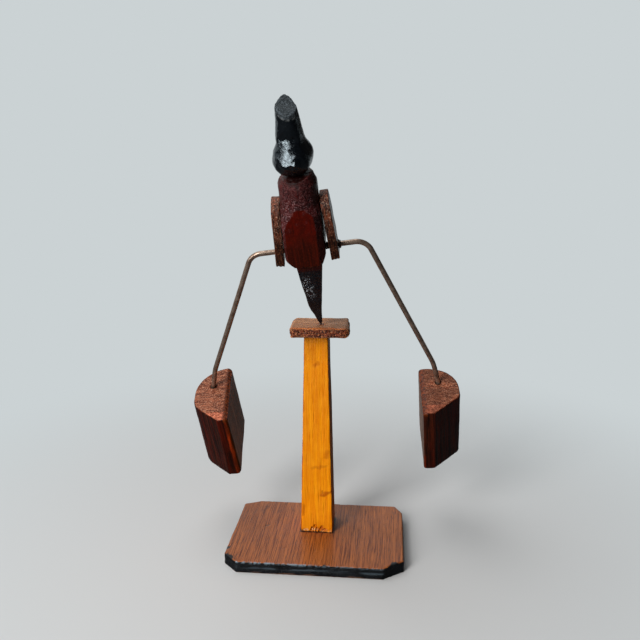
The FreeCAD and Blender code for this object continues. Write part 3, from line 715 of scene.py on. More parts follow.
# %% Carve and paint the base board
BOARD_TOP = 7.4
POST_X, POST_Y, POST_HALF = -0.8, 9.8, 10.4
BOARD_CHIPS = [
    ((-49.2, -38.7, 6.6), (-47.2, -38.7, 5.6), 1.5, 0.55),
    ((-52.5, -34.5, 6.9), (-51.4, -35.6, 6.5), 0.9, 0.5),
    ((46.5, -36.5, 7.1), (48.0, -35.0, 6.7), 1.1, 0.5),
    ((21.0, -38.9, 7.2), (23.5, -38.9, 7.3), 0.7, 0.25),
    ((-9.0, -38.9, 7.3), (-5.5, -38.9, 7.3), 0.6, 0.2),
    ((55.0, 6.0, 7.3), (55.0, 9.0, 7.3), 0.8, 0.3),
    ((-55.2, 2.0, 7.3), (-55.2, 4.0, 7.3), 0.9, 0.35),
    ((12.0, 38.8, 7.2), (16.0, 38.8, 7.2), 0.9, 0.35),
]
BOARD_SCRATCHES = [
    ((-35.6, 4.0, BOARD_TOP), (-32.8, 6.6, BOARD_TOP), 0.8, 0.28),
    ((-35.2, 6.8, BOARD_TOP), (-33.4, 5.2, BOARD_TOP), 0.7, 0.22),
    ((-20.0, -22.0, BOARD_TOP), (-17.5, -20.5, BOARD_TOP), 0.6, 0.12),
    ((28.0, -8.0, BOARD_TOP), (31.0, -9.5, BOARD_TOP), 0.6, 0.10),
    ((36.0, 20.0, BOARD_TOP), (36.8, 23.0, BOARD_TOP), 0.6, 0.10),
]
# Places on the top where the edge paint was smeared over, each with its reach
BOARD_SMEARS = [
    (-53.0, -36.0, 5.6), (51.4, -36.0, 6.0), (54.8, -27.0, 2.0), (-55.2, -24.0, 1.8),
    (-38.0, -38.8, 1.5), (8.0, -38.8, 1.2), (55.0, 20.0, 1.4)]


def board_rule(point, normal):
    """Sides that wander, tool marks on them, and chips and scratches pressed in."""
    side = 1 - abs(normal.z)
    wander = 0.3 * ripple(point, 24, 3) + 0.14 * ripple(point, 3.5, 8)
    tool = 0.12 * ripple(point, 1.0, 5, (14, 14, 1)) + 0.08 * ripple(point, 1.6, 12)
    top = 0.05 * ripple(point, 1.2, 11, (1, 18, 1)) if normal.z > 0.5 else 0.0
    pressed = marked(point, BOARD_CHIPS) + marked(point, BOARD_SCRATCHES)
    return normal * (side * (wander + tool) + top - pressed)


def board_paint(point, normal):
    """The painted sides with their ragged upper limit, and the smears on the top."""
    limit = BOARD_TOP - 0.35 + 0.5 * ripple(point, 2.2, 21)
    sides = step(1 - abs(normal.z), 0.25, 0.6) * step(limit + 0.5 - point.z, 0.0, 0.4)
    smear = 0.0
    for x, y, reach in BOARD_SMEARS:
        away = (Vector((point.x, point.y)) - Vector((x, y))).length
        ragged = 1.6 * ripple(point, 1.6, 5, (1, 3, 1)) + 0.8 * ripple(point, 4, 9)
        smear = max(smear, step(reach + ragged - away, 0.0, 0.8))
    return max(sides, smear)


def board_frosted(point, normal):
    """Pale blue-grey specks and lines along the upper front edge, and a fainter line below:
    partly scraped paint, partly a painted highlight.
    """
    front = step(-point.y, 37.9, 38.6)
    line = step(point.z, 5.7 + 0.8 * ripple(point, 5, 41), 7.0)
    left = 1 - 0.6 * step(point.x, -6, 24)
    upper = 0.85 * line * left * step(ripple(point, 1.3, 43), -0.2, 0.2)
    middle = step(point.z, 2.7, 3.4) * step(4.5 - point.z, 0, 0.7)
    lower = 0.28 * middle * step(ripple(point, 1.6, 47, (5, 1, 1)), -0.25, 0.25)
    return front * max(upper, lower)


def board_grime(point, normal):
    """Dark varnish and dirt, with painted shade, in the corner where the post stands."""
    off = max(abs(point.x - POST_X), abs(point.y - POST_Y)) - POST_HALF
    return step(normal.z, 0.7, 0.9) * step(1.2 + 0.8 * ripple(point, 1.5, 45) - off, 0, 1.2)


def board_bare(point, normal):
    """Bare wood along the lower front edge, and in the scratch shaped like a foot."""
    front = step(-point.y, 37.5, 38.3) * step(1 - abs(normal.z), 0.3, 0.7)
    line = step(1.1 + 0.9 * ripple(point, 6, 31) - point.z, 0.0, 0.5)
    rubbed = step(ripple(point, 9, 33), -0.1, 0.3)
    scratch = step(marked(point, BOARD_SCRATCHES[:2]), 0.05, 0.2)
    return max(front * line * rubbed, 0.8 * scratch)


board = skin_of("base_board", "board", 0.55)
work(board, STAND, board_rule, edge_paint=board_paint, bare=board_bare,
     frosted=board_frosted, grime=board_grime)
settle(board, "stand", "base_stain", base_finish)

# %% [markdown]
# ## Finish: yellow varnish on the post
#
# The post is pale softwood under a strong yellow-orange varnish. Its grain runs up and
# down as fine brown lines. The varnish is thicker and redder near the foot, and worn
# brown along the upright edges. Masks place the old stains, the dark splits and the pale
# torn fibres at the foot, and painted shade on the right side, under the perch and along
# the foot.

# %% The post's material
post_finish, tree, shader, place = open_material(
    "yellow varnish", shift=(9, 14, 0), Specular_IOR_Level=0.15, Coat_Weight=0.03,
    Coat_Roughness=0.3)
grain = use(tree, grain_group, place, ring_width=2.6, wander=1.2, fibre_width=0.8,
            fibre_length=50, pore_spacing=1.7)
broad = use(tree, grain_group, place, ring_width=5.0, wander=1.5, fibre_width=2.6,
            pore_spacing=3.0)
marks = use(tree, handling_group, place, patch_size=6, speck_size=0.5, speck_share=0.2)
wear = use(tree, wear_group, place, amount=0.9, patch_size=1.5)
base = layered(
    tree, mix(tree, grain["Rings"], colour(250, 156, 4), colour(234, 134, 2)),
    (broad["Fibre"], 0.5, colour(222, 122, 2)),
    (grain["Fibre"], 0.45, colour(198, 96, 2)),
    (grain["Pores"], 0.14, colour(150, 72, 10)),
    (marks["Patches"], 0.3, colour(250, 168, 14)),
    (wear["Worn"], 0.6, colour(160, 84, 22)),
    (painted(tree, "stained"), 1, colour(164, 74, 2)),
    (painted(tree, "torn"), 1, colour(226, 178, 122)),
    # Dark: old varnish in splits and dents, and painted shade on the right side, under the perch
    # and at the foot
    (painted(tree, "dark"), 1, colour(40, 15, 5)))
rough = plus(tree, 0.34, marks["Patches"], 0.15)
finish_material(tree, shader, base, rough, grain["Height"], 0.12)
print("Made", post_finish.name)

# %% [markdown]
# ## The post
#
# A square stick planed to a taper. Its foot was sawn across and broke out at the front,
# so the lower edge is ragged and a few short splits run up from it. Those are strokes
# pressed into the front face, with the darkness of old varnish painted into them.

# %% Carve and paint the post
POST_FRONT = -0.6
POST_SPLITS = [
    ((-4.6, POST_FRONT, BOARD_TOP), (-3.4, POST_FRONT + 0.2, 10.6), 0.7, 1.1),
    ((-3.0, POST_FRONT, BOARD_TOP), (-1.7, POST_FRONT + 0.2, 12.2), 0.7, 1.2),
    ((-1.2, POST_FRONT, BOARD_TOP), (-0.5, POST_FRONT + 0.2, 10.4), 0.75, 1.2),
    ((0.6, POST_FRONT, BOARD_TOP), (2.8, POST_FRONT + 0.2, 11.6), 0.7, 1.1),
    ((2.2, POST_FRONT, BOARD_TOP), (4.6, POST_FRONT + 0.1, 9.8), 0.65, 0.9),
    ((-10.6, POST_FRONT, BOARD_TOP), (-8.6, POST_FRONT, 8.3), 1.0, 0.7),
    ((-8.0, POST_FRONT, BOARD_TOP), (-5.4, POST_FRONT, 7.9), 0.8, 0.6),
]
POST_DENTS = [
    ((-0.6, 1.3, 119.0), (-0.2, 1.3, 121.0), 0.9, 0.3),
    ((2.7, 0.1, 34.4), (3.1, 0.1, 36.4), 0.6, 0.22),
    ((-3.2, 0.5, 78.0), (-3.0, 0.5, 81.0), 0.5, 0.1),
    ((6.0, 0.4, 60.0), (6.6, 0.4, 62.5), 0.5, 0.12),
]
# Brown stains on the front: start, end, reach and strength
POST_STAINS = [
    ((2.6, 0.1, 33.2), (8.6, 0.1, 35.8), 1.7, 0.8),
    ((-3.0, 0.4, 52.0), (5.0, 0.4, 53.0), 1.6, 0.4),
    ((5.6, 0.4, 59.5), (6.4, 0.4, 63.0), 2.2, 0.45),
    ((-1.2, 1.3, 119.5), (0.3, 1.3, 120.5), 2.2, 0.6),
    ((-9.5, 0.0, 20.0), (-9.0, 0.0, 26.0), 1.4, 0.5),
]


def post_rule(point, normal):
    """Sides that wander, fine grain lines, a ragged foot, and splits and dents."""
    side = 1 - abs(normal.z)
    wander = 0.22 * ripple(point, 26, 2) + 0.07 * ripple(point, 5, 9, (1, 1, 3))
    lines = 0.035 * ripple(point, 0.9, 4, (1, 1, 30))
    ragged = 1.0 * step(9.8 - point.z, 0, 2.0) * (ripple(point, 1.9, 13) + 0.25)
    pressed = marked(point, POST_SPLITS) + marked(point, POST_DENTS)
    return normal * side * (wander + lines - max(0.0, ragged) - pressed)


def post_dark(point, normal):
    """Old varnish in splits and dents, old varnish and painted shade along the foot, and painted
    shade on the right side and on the top under the perch.
    """
    splits = step(marked(point, POST_SPLITS), 0.12, 0.5)
    dents = 0.4 * step(marked(point, POST_DENTS), 0.05, 0.2)
    # A dark line at the foot, partly old varnish and partly painted shade where the post meets
    # the board
    foot = 0.8 * step(8.0 + 0.5 * ripple(point, 1.6, 17) - point.z, 0, 0.5)
    # Painted shade on the right side
    right = 0.4 * step(normal.x, 0.35, 0.8)
    # Painted shadow on the top of the post under the perch
    grimy = 0.3 * step(point.z + 3 * ripple(point, 6, 3), 120, 138)
    return max(splits, dents, foot, right, grimy)


def post_torn(point, normal):
    """Pale fibres with no varnish on them, where the foot broke out."""
    front = step(-normal.y, 0.1, 0.6) * step(10.2 - point.z, 0, 1.4)
    left = 0.35 + 0.65 * step(-point.x, -1.0, 3.0)
    return 0.9 * front * left * step(ripple(point, 1.9, 24, (1, 1, 1.5)), 0.0, 0.2)


def post_stained(point, normal):
    """Stains, the deeper colour near the foot, and the brown of the worn edges."""
    wave = Vector((0, 0, 1.5 * ripple(point, 3, 22)))
    spots = marked(point + wave, POST_STAINS)
    foot = 0.5 * step(24 + 6 * ripple(point, 5, 12, (1, 1, 3)) - point.z, 0, 16)
    corner = step(abs(normal.x) * abs(normal.y), 0.08, 0.35)
    edge = 0.8 * corner * step(ripple(point, 2.4, 26, (1, 1, 3)), -0.5, 0.2)
    return min(1.0, spots + edge + foot * (0.6 + 0.4 * ripple(point, 2, 3, (1, 1, 6))))


post = skin_of("post", "post_stick", 0.42)
work(post, STAND, post_rule, dark=post_dark, stained=post_stained, torn=post_torn)
settle(post, "stand", "post_varnish", post_finish)

# %% [markdown]
# ## Finish: sawn perch
#
# The small board on the post has a thin brown stain. Its top is smooth and pale, with a
# darker amber spot round the nail, amber varnish along the front edge and painted shade
# on its right part. Its sides are sawn: dark, rough, and full of open pores with a few
# bright fibres left standing.

# %% The perch's material
perch_finish, tree, shader, place = open_material(
    "sawn perch", grain="X", shift=(3, 11, 5), Specular_IOR_Level=0.3)
grain = use(tree, grain_group, place, ring_width=2.2, wander=1.8, fibre_width=0.8,
            pore_spacing=1.5)
marks = use(tree, handling_group, place, patch_size=5, speck_size=1.0, speck_share=0.6)
saw = use(tree, saw_group, place, row_spacing=1.0, row_length=1.0)
wear = use(tree, wear_group, place, amount=1.0, patch_size=1.2)
sides = painted(tree, "sawn")
top = layered(
    tree, mix(tree, grain["Rings"], colour(198, 144, 102), colour(168, 114, 76)),
    (grain["Fibre"], 0.75, colour(126, 76, 47)),
    (grain["Pores"], 0.5, colour(96, 56, 36)),
    # Painted shade on the right part of the top
    (painted(tree, "aged"), 1, colour(118, 84, 60)))
sawn = layered(
    tree, mix(tree, saw["Rows"], colour(44, 13, 6), colour(112, 46, 20)),
    (marks["Specks"], 0.6, colour(192, 116, 72)),
    (saw["Pits"], 0.8, colour(26, 7, 4)))
base = layered(
    tree, mix(tree, sides, top, sawn),
    (wear["Worn"], 0.6, colour(206, 134, 74)),
    (painted(tree, "spot"), 1, mix(
        tree, grain["Fibre"], colour(192, 104, 40), colour(140, 68, 22))))
rough = plus(tree, 0.5, marks["Patches"], 0.2)
height = plus(tree, grain["Height"], saw["Height"], sides)
finish_material(tree, shader, base, rough, height, 0.18)
print("Made", perch_finish.name)

# %% [markdown]
# ## The perch
#
# The saw left ridges and torn pits on the board's edges. The rule deepens them only where
# the surface faces sideways, so the top stays smooth. The corners and both ends were
# rounded by hand.

# %% Carve and paint the perch
PERCH_MIDDLE = (1.1, 11.0, 141.35)
PERCH_HALF = (18.4, 14.9, 3.05)


def perch_rule(point, normal):
    """Saw ridges and torn pits on the sides, and rounded corners and ends."""
    off = [abs(a - b) for a, b in zip(point, PERCH_MIDDLE)]
    side = step(1 - abs(normal.z), 0.4, 0.8)
    corner = step(off[0], 13.5, PERCH_HALF[0]) * step(off[1], 10.0, PERCH_HALF[1])
    wander = 0.28 * ripple(point, 9, 6) + 0.12 * ripple(point, 3.5, 8)
    ridges = 0.3 * ripple(point, 1.2, 3, (1, 1, 2)) + 0.12 * ripple(point, 0.6, 5)
    pits = 0.8 * max(0.0, ripple(point, 1.0, 15) - 0.1)
    end = step(off[0], 15.9, PERCH_HALF[0]) * step(off[2], 0.6, PERCH_HALF[2])
    return normal * (wander + side * (ridges - pits - 1.2 * corner) - 0.9 * end)


def perch_sawn(point, normal):
    """1 on the sides, with a ragged border towards the top."""
    ragged = 0.12 * ripple(point, 1.0, 9)
    return step(1 - abs(normal.z) + ragged, 0.55, 0.8)


def perch_aged(point, normal):
    """Painted shade: the darker right part of the top."""
    return 0.7 * step(point.x + 3 * ripple(point, 5, 2), 3, 12)


def perch_spot(point, normal):
    """A darker amber spot round the nail, and amber varnish along the front edge of the top."""
    away = (Vector((point.x, point.y)) - Vector((1.8, 8.0))).length
    drop = 0.85 * step(3.6 + ripple(point, 1.5, 4) - away, 0, 1.5)
    front_edge = -3.9 + 0.052 * (point.x - PERCH_MIDDLE[0])
    front = step(front_edge + 3.4 + 1.2 * ripple(point, 2.5, 11) - point.y, 0, 1.4)
    return step(normal.z, 0.2, 0.6) * max(drop, 0.85 * front)


perch = skin_of("perch", "perch_board", 0.36)
work(perch, STAND, perch_rule, sawn=perch_sawn, aged=perch_aged, spot=perch_spot)
settle(perch, "stand", "perch_wood", perch_finish)

# %% [markdown]
# ## Finish: red-brown varnish on the torso
#
# The torso is dark wood under a thick red-brown varnish. Its flat front facet is smooth
# and lets the red through, and its upper part is painted a brighter red as painted light.
# The rounded part above was rasped before it was varnished, so it keeps a fine crossed
# texture, and its high spots are dull and greyish purple, partly from dust and partly
# from a painted sheen.

# %% The torso's material
torso_finish, tree, shader, place = open_material(
    "red varnish", BIRD, shift=(17, 5, 3), Specular_IOR_Level=0.17)
grain = use(tree, grain_group, place, ring_width=2.4, wander=1.5, fibre_width=1.2,
            pore_spacing=2.0)
marks = use(tree, handling_group, place, patch_size=5, speck_size=0.7, speck_share=0.6)
scratches = use(tree, scratch_group, place, scratch_width=0.55, scratch_length=12)
wear = use(tree, wear_group, place, amount=0.8, patch_size=1.0)
rasped = painted(tree, "rasped")
smooth = layered(
    tree, mix(tree, grain["Fibre"], colour(64, 14, 4), colour(40, 8, 3)),
    # The brighter red on the upper part of the facet is painted light
    (painted(tree, "glow"), 1, mix(
        tree, marks["Patches"], colour(82, 10, 2), colour(56, 8, 3))),
    (marks["Specks"], 0.35, colour(100, 32, 12)),
    (grain["Pores"], 0.4, colour(26, 5, 2)))
skin = layered(
    tree, mix(tree, marks["Patches"], colour(66, 10, 9), colour(34, 7, 9)),
    (scratches["Scratches"], 0.55, colour(112, 62, 62)),
    # Pale specks in the rasp marks: partly dust, partly painted glints
    (marks["Specks"], painted(tree, "dusty"), colour(142, 112, 114)),
    (grain["Pores"], 0.6, colour(18, 3, 4)))
base = layered(
    tree, mix(tree, rasped, smooth, skin),
    (wear["Worn"], 0.4, colour(110, 56, 46)),
    # Black: paint smeared from the head, and painted shadow under the head
    (painted(tree, "black smear"), 1, colour(8, 4, 4)))
rough = plus(tree, 0.32, rasped, 0.2)
height = calc(tree, "MULTIPLY", scratches["Scratches"], calc(tree, "ADD", rasped, 0.05))
finish_material(tree, shader, base, rough, height, 0.15)
print("Made", torso_finish.name)

# %% [markdown]
# ## The torso
#
# Knife strokes leave shallow scoops with soft ridges between them. A Worley noise gives
# the distance to the nearest of many scattered points, and its square is just such a
# scoop. The flat facet was planed, so scoops fade out there. The crown is eased down
# round the head, a little less at its right shoulder, and black paint ran onto it; that
# black also stands as painted shadow under the head.

# %% Carve and paint the torso
HEAD_AXIS = Vector((-1.9, -1.0))
FACET_X, FACET_DEPTH = -1.7, 11.0
SHOULDER_RADIUS, SHOULDER_LEVEL = 17.0, 69.0
SHOULDER_TAPER = 6.2 / 17.0


def scoops(point, size, depth, seed, stretch=(1, 1, 1)):
    """Shallow scoops with ridges between them, as a knife leaves."""
    place = Vector(a / (size * b) + seed for a, b in zip(point, stretch))
    near = noise.voronoi(place)[0][0]
    return depth * (min(1.0, near) ** 2 - 0.3)


def on_facet(point, normal):
    """1 on the planed facet, which ends in an arch where the rounded shoulders begin."""
    round_radius = SHOULDER_RADIUS - SHOULDER_TAPER * (point.z - SHOULDER_LEVEL)
    half_width = max(0.0, round_radius ** 2 - FACET_DEPTH ** 2) ** 0.5
    ragged = half_width + 1.7 * ripple(point, 2.5, 6)
    inside = step(ragged - abs(point.x - FACET_X), -0.5, 1.0)
    return step(-normal.y, 0.85, 0.97) * inside * step(-point.y, FACET_DEPTH, FACET_DEPTH + 0.6)


def torso_rule(point, normal):
    """Knife scoops round the facet, rasp marks above it, chips and the eased crown."""
    flat = on_facet(point, normal)
    cuts = scoops(point, 5.5, 0.4, 3, (1, 1, 2.2)) * (1 - flat)
    wander = 0.22 * ripple(point, 8, 5)
    rasped = 0.07 * ripple(point, 0.9, 8) * step(point.z, 66, 76)
    chips = 0.7 * max(0.0, ripple(point, 1.8, 12) - 0.2) * (1 - flat)
    away = (Vector((point.x, point.y)) - HEAD_AXIS).length
    fuller = 1 - 1.4 * step(point.x, -1, 6)
    crown = 1.6 * fuller * step(away, 3.5, 10.5) * step(point.z, 99.5, 101)
    return normal * (cuts + wander + rasped - chips) - Vector((0, 0, crown))


def torso_rasped(point, normal):
    """Where the rasp's texture shows: everywhere but on the facet, most above it."""
    ragged = 0.3 * ripple(point, 1.4, 9) + 0.3 * ripple(point, 3.5, 17)
    front = step(-normal.y, 0.2, 0.7)
    above = step(point.z + 5 * ripple(point, 5, 6), 60, 76)
    return (1 - step(on_facet(point, normal) + ragged, 0.15, 0.95)) * (0.3 + 0.7 * front * above)


def torso_dusty(point, normal):
    """How many pale specks show in the rasp marks, partly dust and partly painted glints: most
    just above the facet's arch.
    """
    band = step(point.z, 64, 80) * (1 - step(point.z, 84, 98))
    left = 0.5 + 0.5 * step(4 - point.x, 0, 10)
    return 0.1 + 0.7 * band * left * step(-normal.y, 0.2, 0.8)


def torso_glow(point, normal):
    """Painted light: the upper part of the facet, painted a brighter red."""
    return on_facet(point, normal) * step(point.z + 3 * ripple(point, 6, 2), 60, 74)


def torso_smear(point, normal):
    """Black paint from the head that ran onto the top of the torso, most at the front, and
    painted shadow under the head.
    """
    away = Vector((point.x, point.y)) - HEAD_AXIS
    front = step(-away.y / max(away.length, 0.1), 0.6, 0.98)
    reach = 8.4 + 3.2 * front + 1.6 * ripple(point, 2.2, 4)
    return 0.8 * step(reach - away.length, 0, 4.0) * step(point.z, 95, 99)


torso = skin_of("torso", "torso_block", 0.4)
work(torso, BIRD, torso_rule, rasped=torso_rasped, glow=torso_glow, dusty=torso_dusty,
     black_smear=torso_smear)
settle(torso, "bird", "red_varnish", torso_finish)

# %% [markdown]
# ## Finish: black gloss paint
#
# Head and tail are painted black. On the head the paint is thick and glossy, and it
# wrinkled as it dried, so highlights break up. On the tail it is wiped on thinner and
# shines less. One function mixes both. Where a mask says so the paint is thin and dull,
# with grey wood fibres showing through: on the beak's sawn end, and a little on the tail.
# Other masks add a painted highlight on the beak's rim, pale specks on the tail that are
# partly dust and partly painted glints, and the red stain on the tail.

# %% A function for the black paint
def black_paint(name, shine, darkest, lightest):
    """A black paint between two near blacks, with its masks, folds and specks."""
    finish, tree, shader, place = open_material(
        name, BIRD, shift=(1, 2, 3), Specular_IOR_Level=shine,
        Specular_Tint=(0.76, 0.91, 1.0, 1.0))
    marks = use(tree, handling_group, place, patch_size=4, speck_size=0.9, speck_share=0.7)
    # Specks that are partly dust and partly painted glints
    dust = use(tree, handling_group, place, patch_size=4, speck_size=0.75, speck_share=0.62)
    folds = use(tree, wrinkle_group, place, wrinkle_size=1.6, stroke_length=1.6)
    fine = use(tree, wrinkle_group, place, wrinkle_size=0.7, stroke_length=1.0)
    thin = painted(tree, "thin")
    grey = layered(
        tree, mix(tree, marks["Patches"], colour(14, 16, 19), colour(5, 7, 9)),
        (marks["Specks"], 0.4, colour(94, 102, 110)))
    base = layered(
        tree, mix(tree, marks["Patches"], darkest, lightest),
        (thin, 1, grey),
        # Pale specks on the tail: partly dust, partly painted glints
        (painted(tree, "dusty"), dust["Specks"], colour(196, 204, 212)),
        # A painted highlight on the beak's rim
        (painted(tree, "rim"), 1, colour(112, 115, 115)),
        (painted(tree, "red stain"), 1, colour(58, 7, 3)))
    rough = plus(tree, plus(tree, 0.13, thin, 0.57), marks["Specks"], 0.1)
    height = plus(tree, folds["Height"], fine["Height"], 0.5)
    finish_material(tree, shader, base, rough, height, 0.055)
    print("Made", finish.name)
    return finish


head_finish = black_paint("thick black gloss paint", 0.85, colour(1, 2, 5), colour(4, 6, 11))
tail_finish = black_paint("thin black paint", 0.4, colour(7, 6, 11), colour(16, 13, 20))

# %% [markdown]
# ## The head
#
# One turned piece: a ball with a thick raised beak, cut off at a slant. A knife left a
# long shallow flat from the beak's root down the ball's front. It bends less across than
# the ball does, so it catches the window as one tall bright patch, narrow above and wide
# below. The ball is fuller at the upper right and the lower left, and the back of the
# beak's end was cut to a blunt keel. The slanted cut is rough. The masks tell the paint
# where the cut is and where a painted highlight lies on its rim.

# %% Carve and paint the head
BULB_LEVEL = 111.55
CUT_TURN = (Matrix.Rotation(radians(11.0), 3, "Y") @ Matrix.Rotation(radians(37.0), 3, "X"))
CUT_NORMAL = CUT_TURN @ Vector((0, 0, 1))
CUT_POINT = Vector((-1.9, -1.0, BULB_LEVEL + 27.2))
BULB_RADIUS = 10.65
INTO_BIRD = BIRD.to_3x3().inverted()
FLAT_NORMAL = (INTO_BIRD @ Vector((-0.21, -0.96, 0.16))).normalized()
FLAT_ACROSS = FLAT_NORMAL.cross(INTO_BIRD @ Vector((0, 0, 1))).normalized()
FLAT_UP = FLAT_ACROSS.cross(FLAT_NORMAL)
FULL_SIDE = (INTO_BIRD @ Vector((0.78, 0.27, 0.56))).normalized()
FULL_FOOT = (INTO_BIRD @ Vector((-0.78, 0.1, -0.62))).normalized()


def over_cut(point):
    """How far a point lies above the slanted cut."""
    return (point - CUT_POINT).dot(CUT_NORMAL)


def shaved(point):
    """The move onto the long flat that runs from the beak's root down the ball's front."""
    out = (point - Vector((*HEAD_AXIS, BULB_LEVEL))) / BULB_RADIUS
    level, left, up = out.dot(FLAT_NORMAL), out.dot(FLAT_ACROSS), out.dot(FLAT_UP)
    if level < 0.3 or level > 1.7:
        return Vector()
    upper = step(up, -0.34, 0.06)
    across = left + 0.1 - 0.14 * upper - 0.04 * step(up, 0.2, 0.6)
    bend = 0.15 + 0.36 * upper
    slant = Vector((0.8 * left + 0.6 * up, 0, 2.4 * up - 1.8 * left)) * BULB_RADIUS
    wrinkle = 0.008 * ripple(slant, 1.3, 35) * (0.25 + 0.75 * upper)
    wanted = 0.94 + 0.2 * up - bend * across * across + wrinkle
    wanted -= 0.05 * max(0.0, up + 0.2) * step(-up, -0.2, 0.2) + 0.08 * min(0.0, up + 0.2)
    top = 0.9 + 0.12 * ripple(point, 2.2, 33) - 0.3 * abs(across)
    cut = min(0.0, wanted - level) * step(top - up, 0.0, 0.3) * step(up, -0.8, -0.6)
    foot = -0.9 + 0.1 * ripple(point, 1.8, 37) + 0.35 * across * across
    low = step(up, foot, foot + 0.26) * step(-up, 0.3, 0.5) * step(0.6 - abs(across), 0.0, 0.3)
    fill = max(0.0, wanted - level) * low
    return FLAT_NORMAL * (BULB_RADIUS * (cut + fill))


def bulged(point):
    """The move that makes the ball fuller at the upper right and the lower left."""
    out = (point - Vector((*HEAD_AXIS, BULB_LEVEL))) / BULB_RADIUS
    length = max(1.0, out.length)
    upper = FULL_SIDE * (0.8 * step(out.dot(FULL_SIDE) / length, 0.7, 1.0))
    return upper + FULL_FOOT * (1.0 * step(out.dot(FULL_FOOT) / length, 0.74, 1.0))


def keeled(point):
    """The move that narrows the back of the beak's end and lifts the front of its rim."""
    x, y = point.x - HEAD_AXIS.x, point.y - HEAD_AXIS.y
    high = step(point.z - BULB_LEVEL, 15, 24)
    narrow = (0.36 if x < 0 else 0.24) * step(y, -1.5, 4.5) * high
    lift = 1.3 * step(over_cut(point), -5, 0) * step(-y, -1, 4)
    return Vector((-x * narrow, 0, lift))


def head_rule(point, normal):
    """Soft lumps under thick paint, torn fibres on the cut, and the three moves above."""
    cut = step(over_cut(point), -0.7, -0.2)
    lumps = 0.3 * ripple(point, 6, 2) + 0.12 * ripple(point, 2.2, 6)
    skin = 0.05 * ripple(point, 1.3, 9) + 0.02 * ripple(point, 0.7, 4)
    torn = 0.16 * ripple(point, 0.9, 12) - 0.25 * max(0.0, ripple(point, 1.6, 15) - 0.2)
    move = normal * ((lumps + skin) * (1 - cut) + torn * cut)
    return move + shaved(point) + bulged(point) + keeled(point)


def head_thin(point, normal):
    """1 on the sawn end of the beak, where the paint hardly covers the fibres."""
    return step(over_cut(point) + 0.2 * ripple(point, 1.2, 3), -0.5, -0.2)


def head_rim(point, normal):
    """A painted highlight on the rim under the lower side of the beak's sawn end."""
    edge = step(over_cut(point), -1.0, -0.5) * (1 - step(over_cut(point), -0.45, -0.15))
    lower = step(-normal.y, 0.2, 0.8) * step(CUT_POINT.z - point.z, 0.0, 2.0)
    return 0.8 * edge * lower * step(ripple(point, 1.3, 7), -0.3, 0.3)


head = skin_of("head", "painted_head", 0.4)
work(head, BIRD, head_rule, thin=head_thin, rim=head_rim)
settle(head, "bird", "black_lacquer", head_finish)

# %% [markdown]
# ## The tail
#
# The tail is whittled from a square stick: a few sections, each a rectangle, joined by
# flat sides. A loft says exactly that. Its fine skin is then scooped lightly. The left
# side of the front keeps a rasp's speckle, whose pale specks are partly dust and partly
# painted glints, and at the top the torso's red varnish has run down over the black.

# %% Loft, carve and paint the tail
# Each section's height, width, depth and centre
TAIL_SECTIONS = [
    (0.9, 1.8, 1.6, -0.1, 0.0),
    (3.0, 2.9, 2.4, -0.3, 0.0),
    (8.5, 4.6, 3.8, -0.85, 0.0),
    (12.0, 6.5, 4.8, -1.4, 0.0),
    (16.0, 8.1, 5.9, -1.65, -0.1),
    (49.0, 15.4, 11.0, -1.25, -3.4),
]


def loft(name, sections, home):
    """Join rectangles given by height, width, depth and centre into one closed mesh."""
    form = bmesh.new()
    loops = []
    for height, width, depth, x, y in sections:
        corners = [(-1, -1), (1, -1), (1, 1), (-1, 1)]
        loops.append([
            form.verts.new(home @ (Vector((x + a * width / 2, y + b * depth / 2, height)) * MM))
            for a, b in corners])
    for lower, upper in zip(loops, loops[1:]):
        for i in range(4):
            j = (i + 1) % 4
            form.faces.new((lower[i], lower[j], upper[j], upper[i]))
    form.faces.new(loops[0][::-1])
    form.faces.new(loops[-1])
    mesh = bpy.data.meshes.new(name)
    form.to_mesh(mesh)
    form.free()
    return new_piece(name, mesh)


def tail_rule(point, normal):
    """Light knife scoops that fade out at the tip, and rasp marks on the upper front."""
    grown = step(point.z, 1, 16)
    cuts = scoops(point, 4.0, 0.35, 8, (1, 1, 2.5))
    rasp = 0.1 * ripple(point, 0.9, 4) * step(point.z, 22, 30) * step(-normal.y, 0.2, 0.8)
    return normal * grown * (cuts + 0.12 * ripple(point, 7, 3) + rasp)


def tail_dusty(point, normal):
    """The speckled band on the left side of the front, partly dust and partly painted glints."""
    front = step(-normal.y, 0.5, 0.9)
    band = step(point.z, 19, 30) * (1 - step(point.z, 36, 42))
    left = step(-point.x - 1.2 - 0.12 * (point.z - 30), -2.5, 2.0)
    return 0.85 * front * band * left * step(ripple(point, 2.2, 5), -0.35, 0.15)


def tail_thin(point, normal):
    """How far the fibres show through the tail's paint: a little everywhere."""
    return 0.2 + 0.1 * ripple(point, 5, 15)


def tail_stain(point, normal):
    """The torso's varnish, which ran down over the top of the tail."""
    return 0.9 * step(point.z + 1.2 * ripple(point, 3, 9), 42, 46)


tail = fine_skin(loft("painted_tail", TAIL_SECTIONS, BIRD), 0.3)
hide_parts("tail")
work(tail, BIRD, tail_rule, dusty=tail_dusty, thin=tail_thin, red_stain=tail_stain)
settle(tail, "bird", "black_lacquer", tail_finish)

# %% [markdown]
# ## Finish: rough wing boards
#
# The wings are thin boards with a brown stain, smooth on their faces. Their narrow front
# edges and upper ends are sawn, pale and fibrous near the shoulder and darker towards the
# foot, with a few pale flecks of dust and glue. That fade from pale to dark is painted
# light and shade.

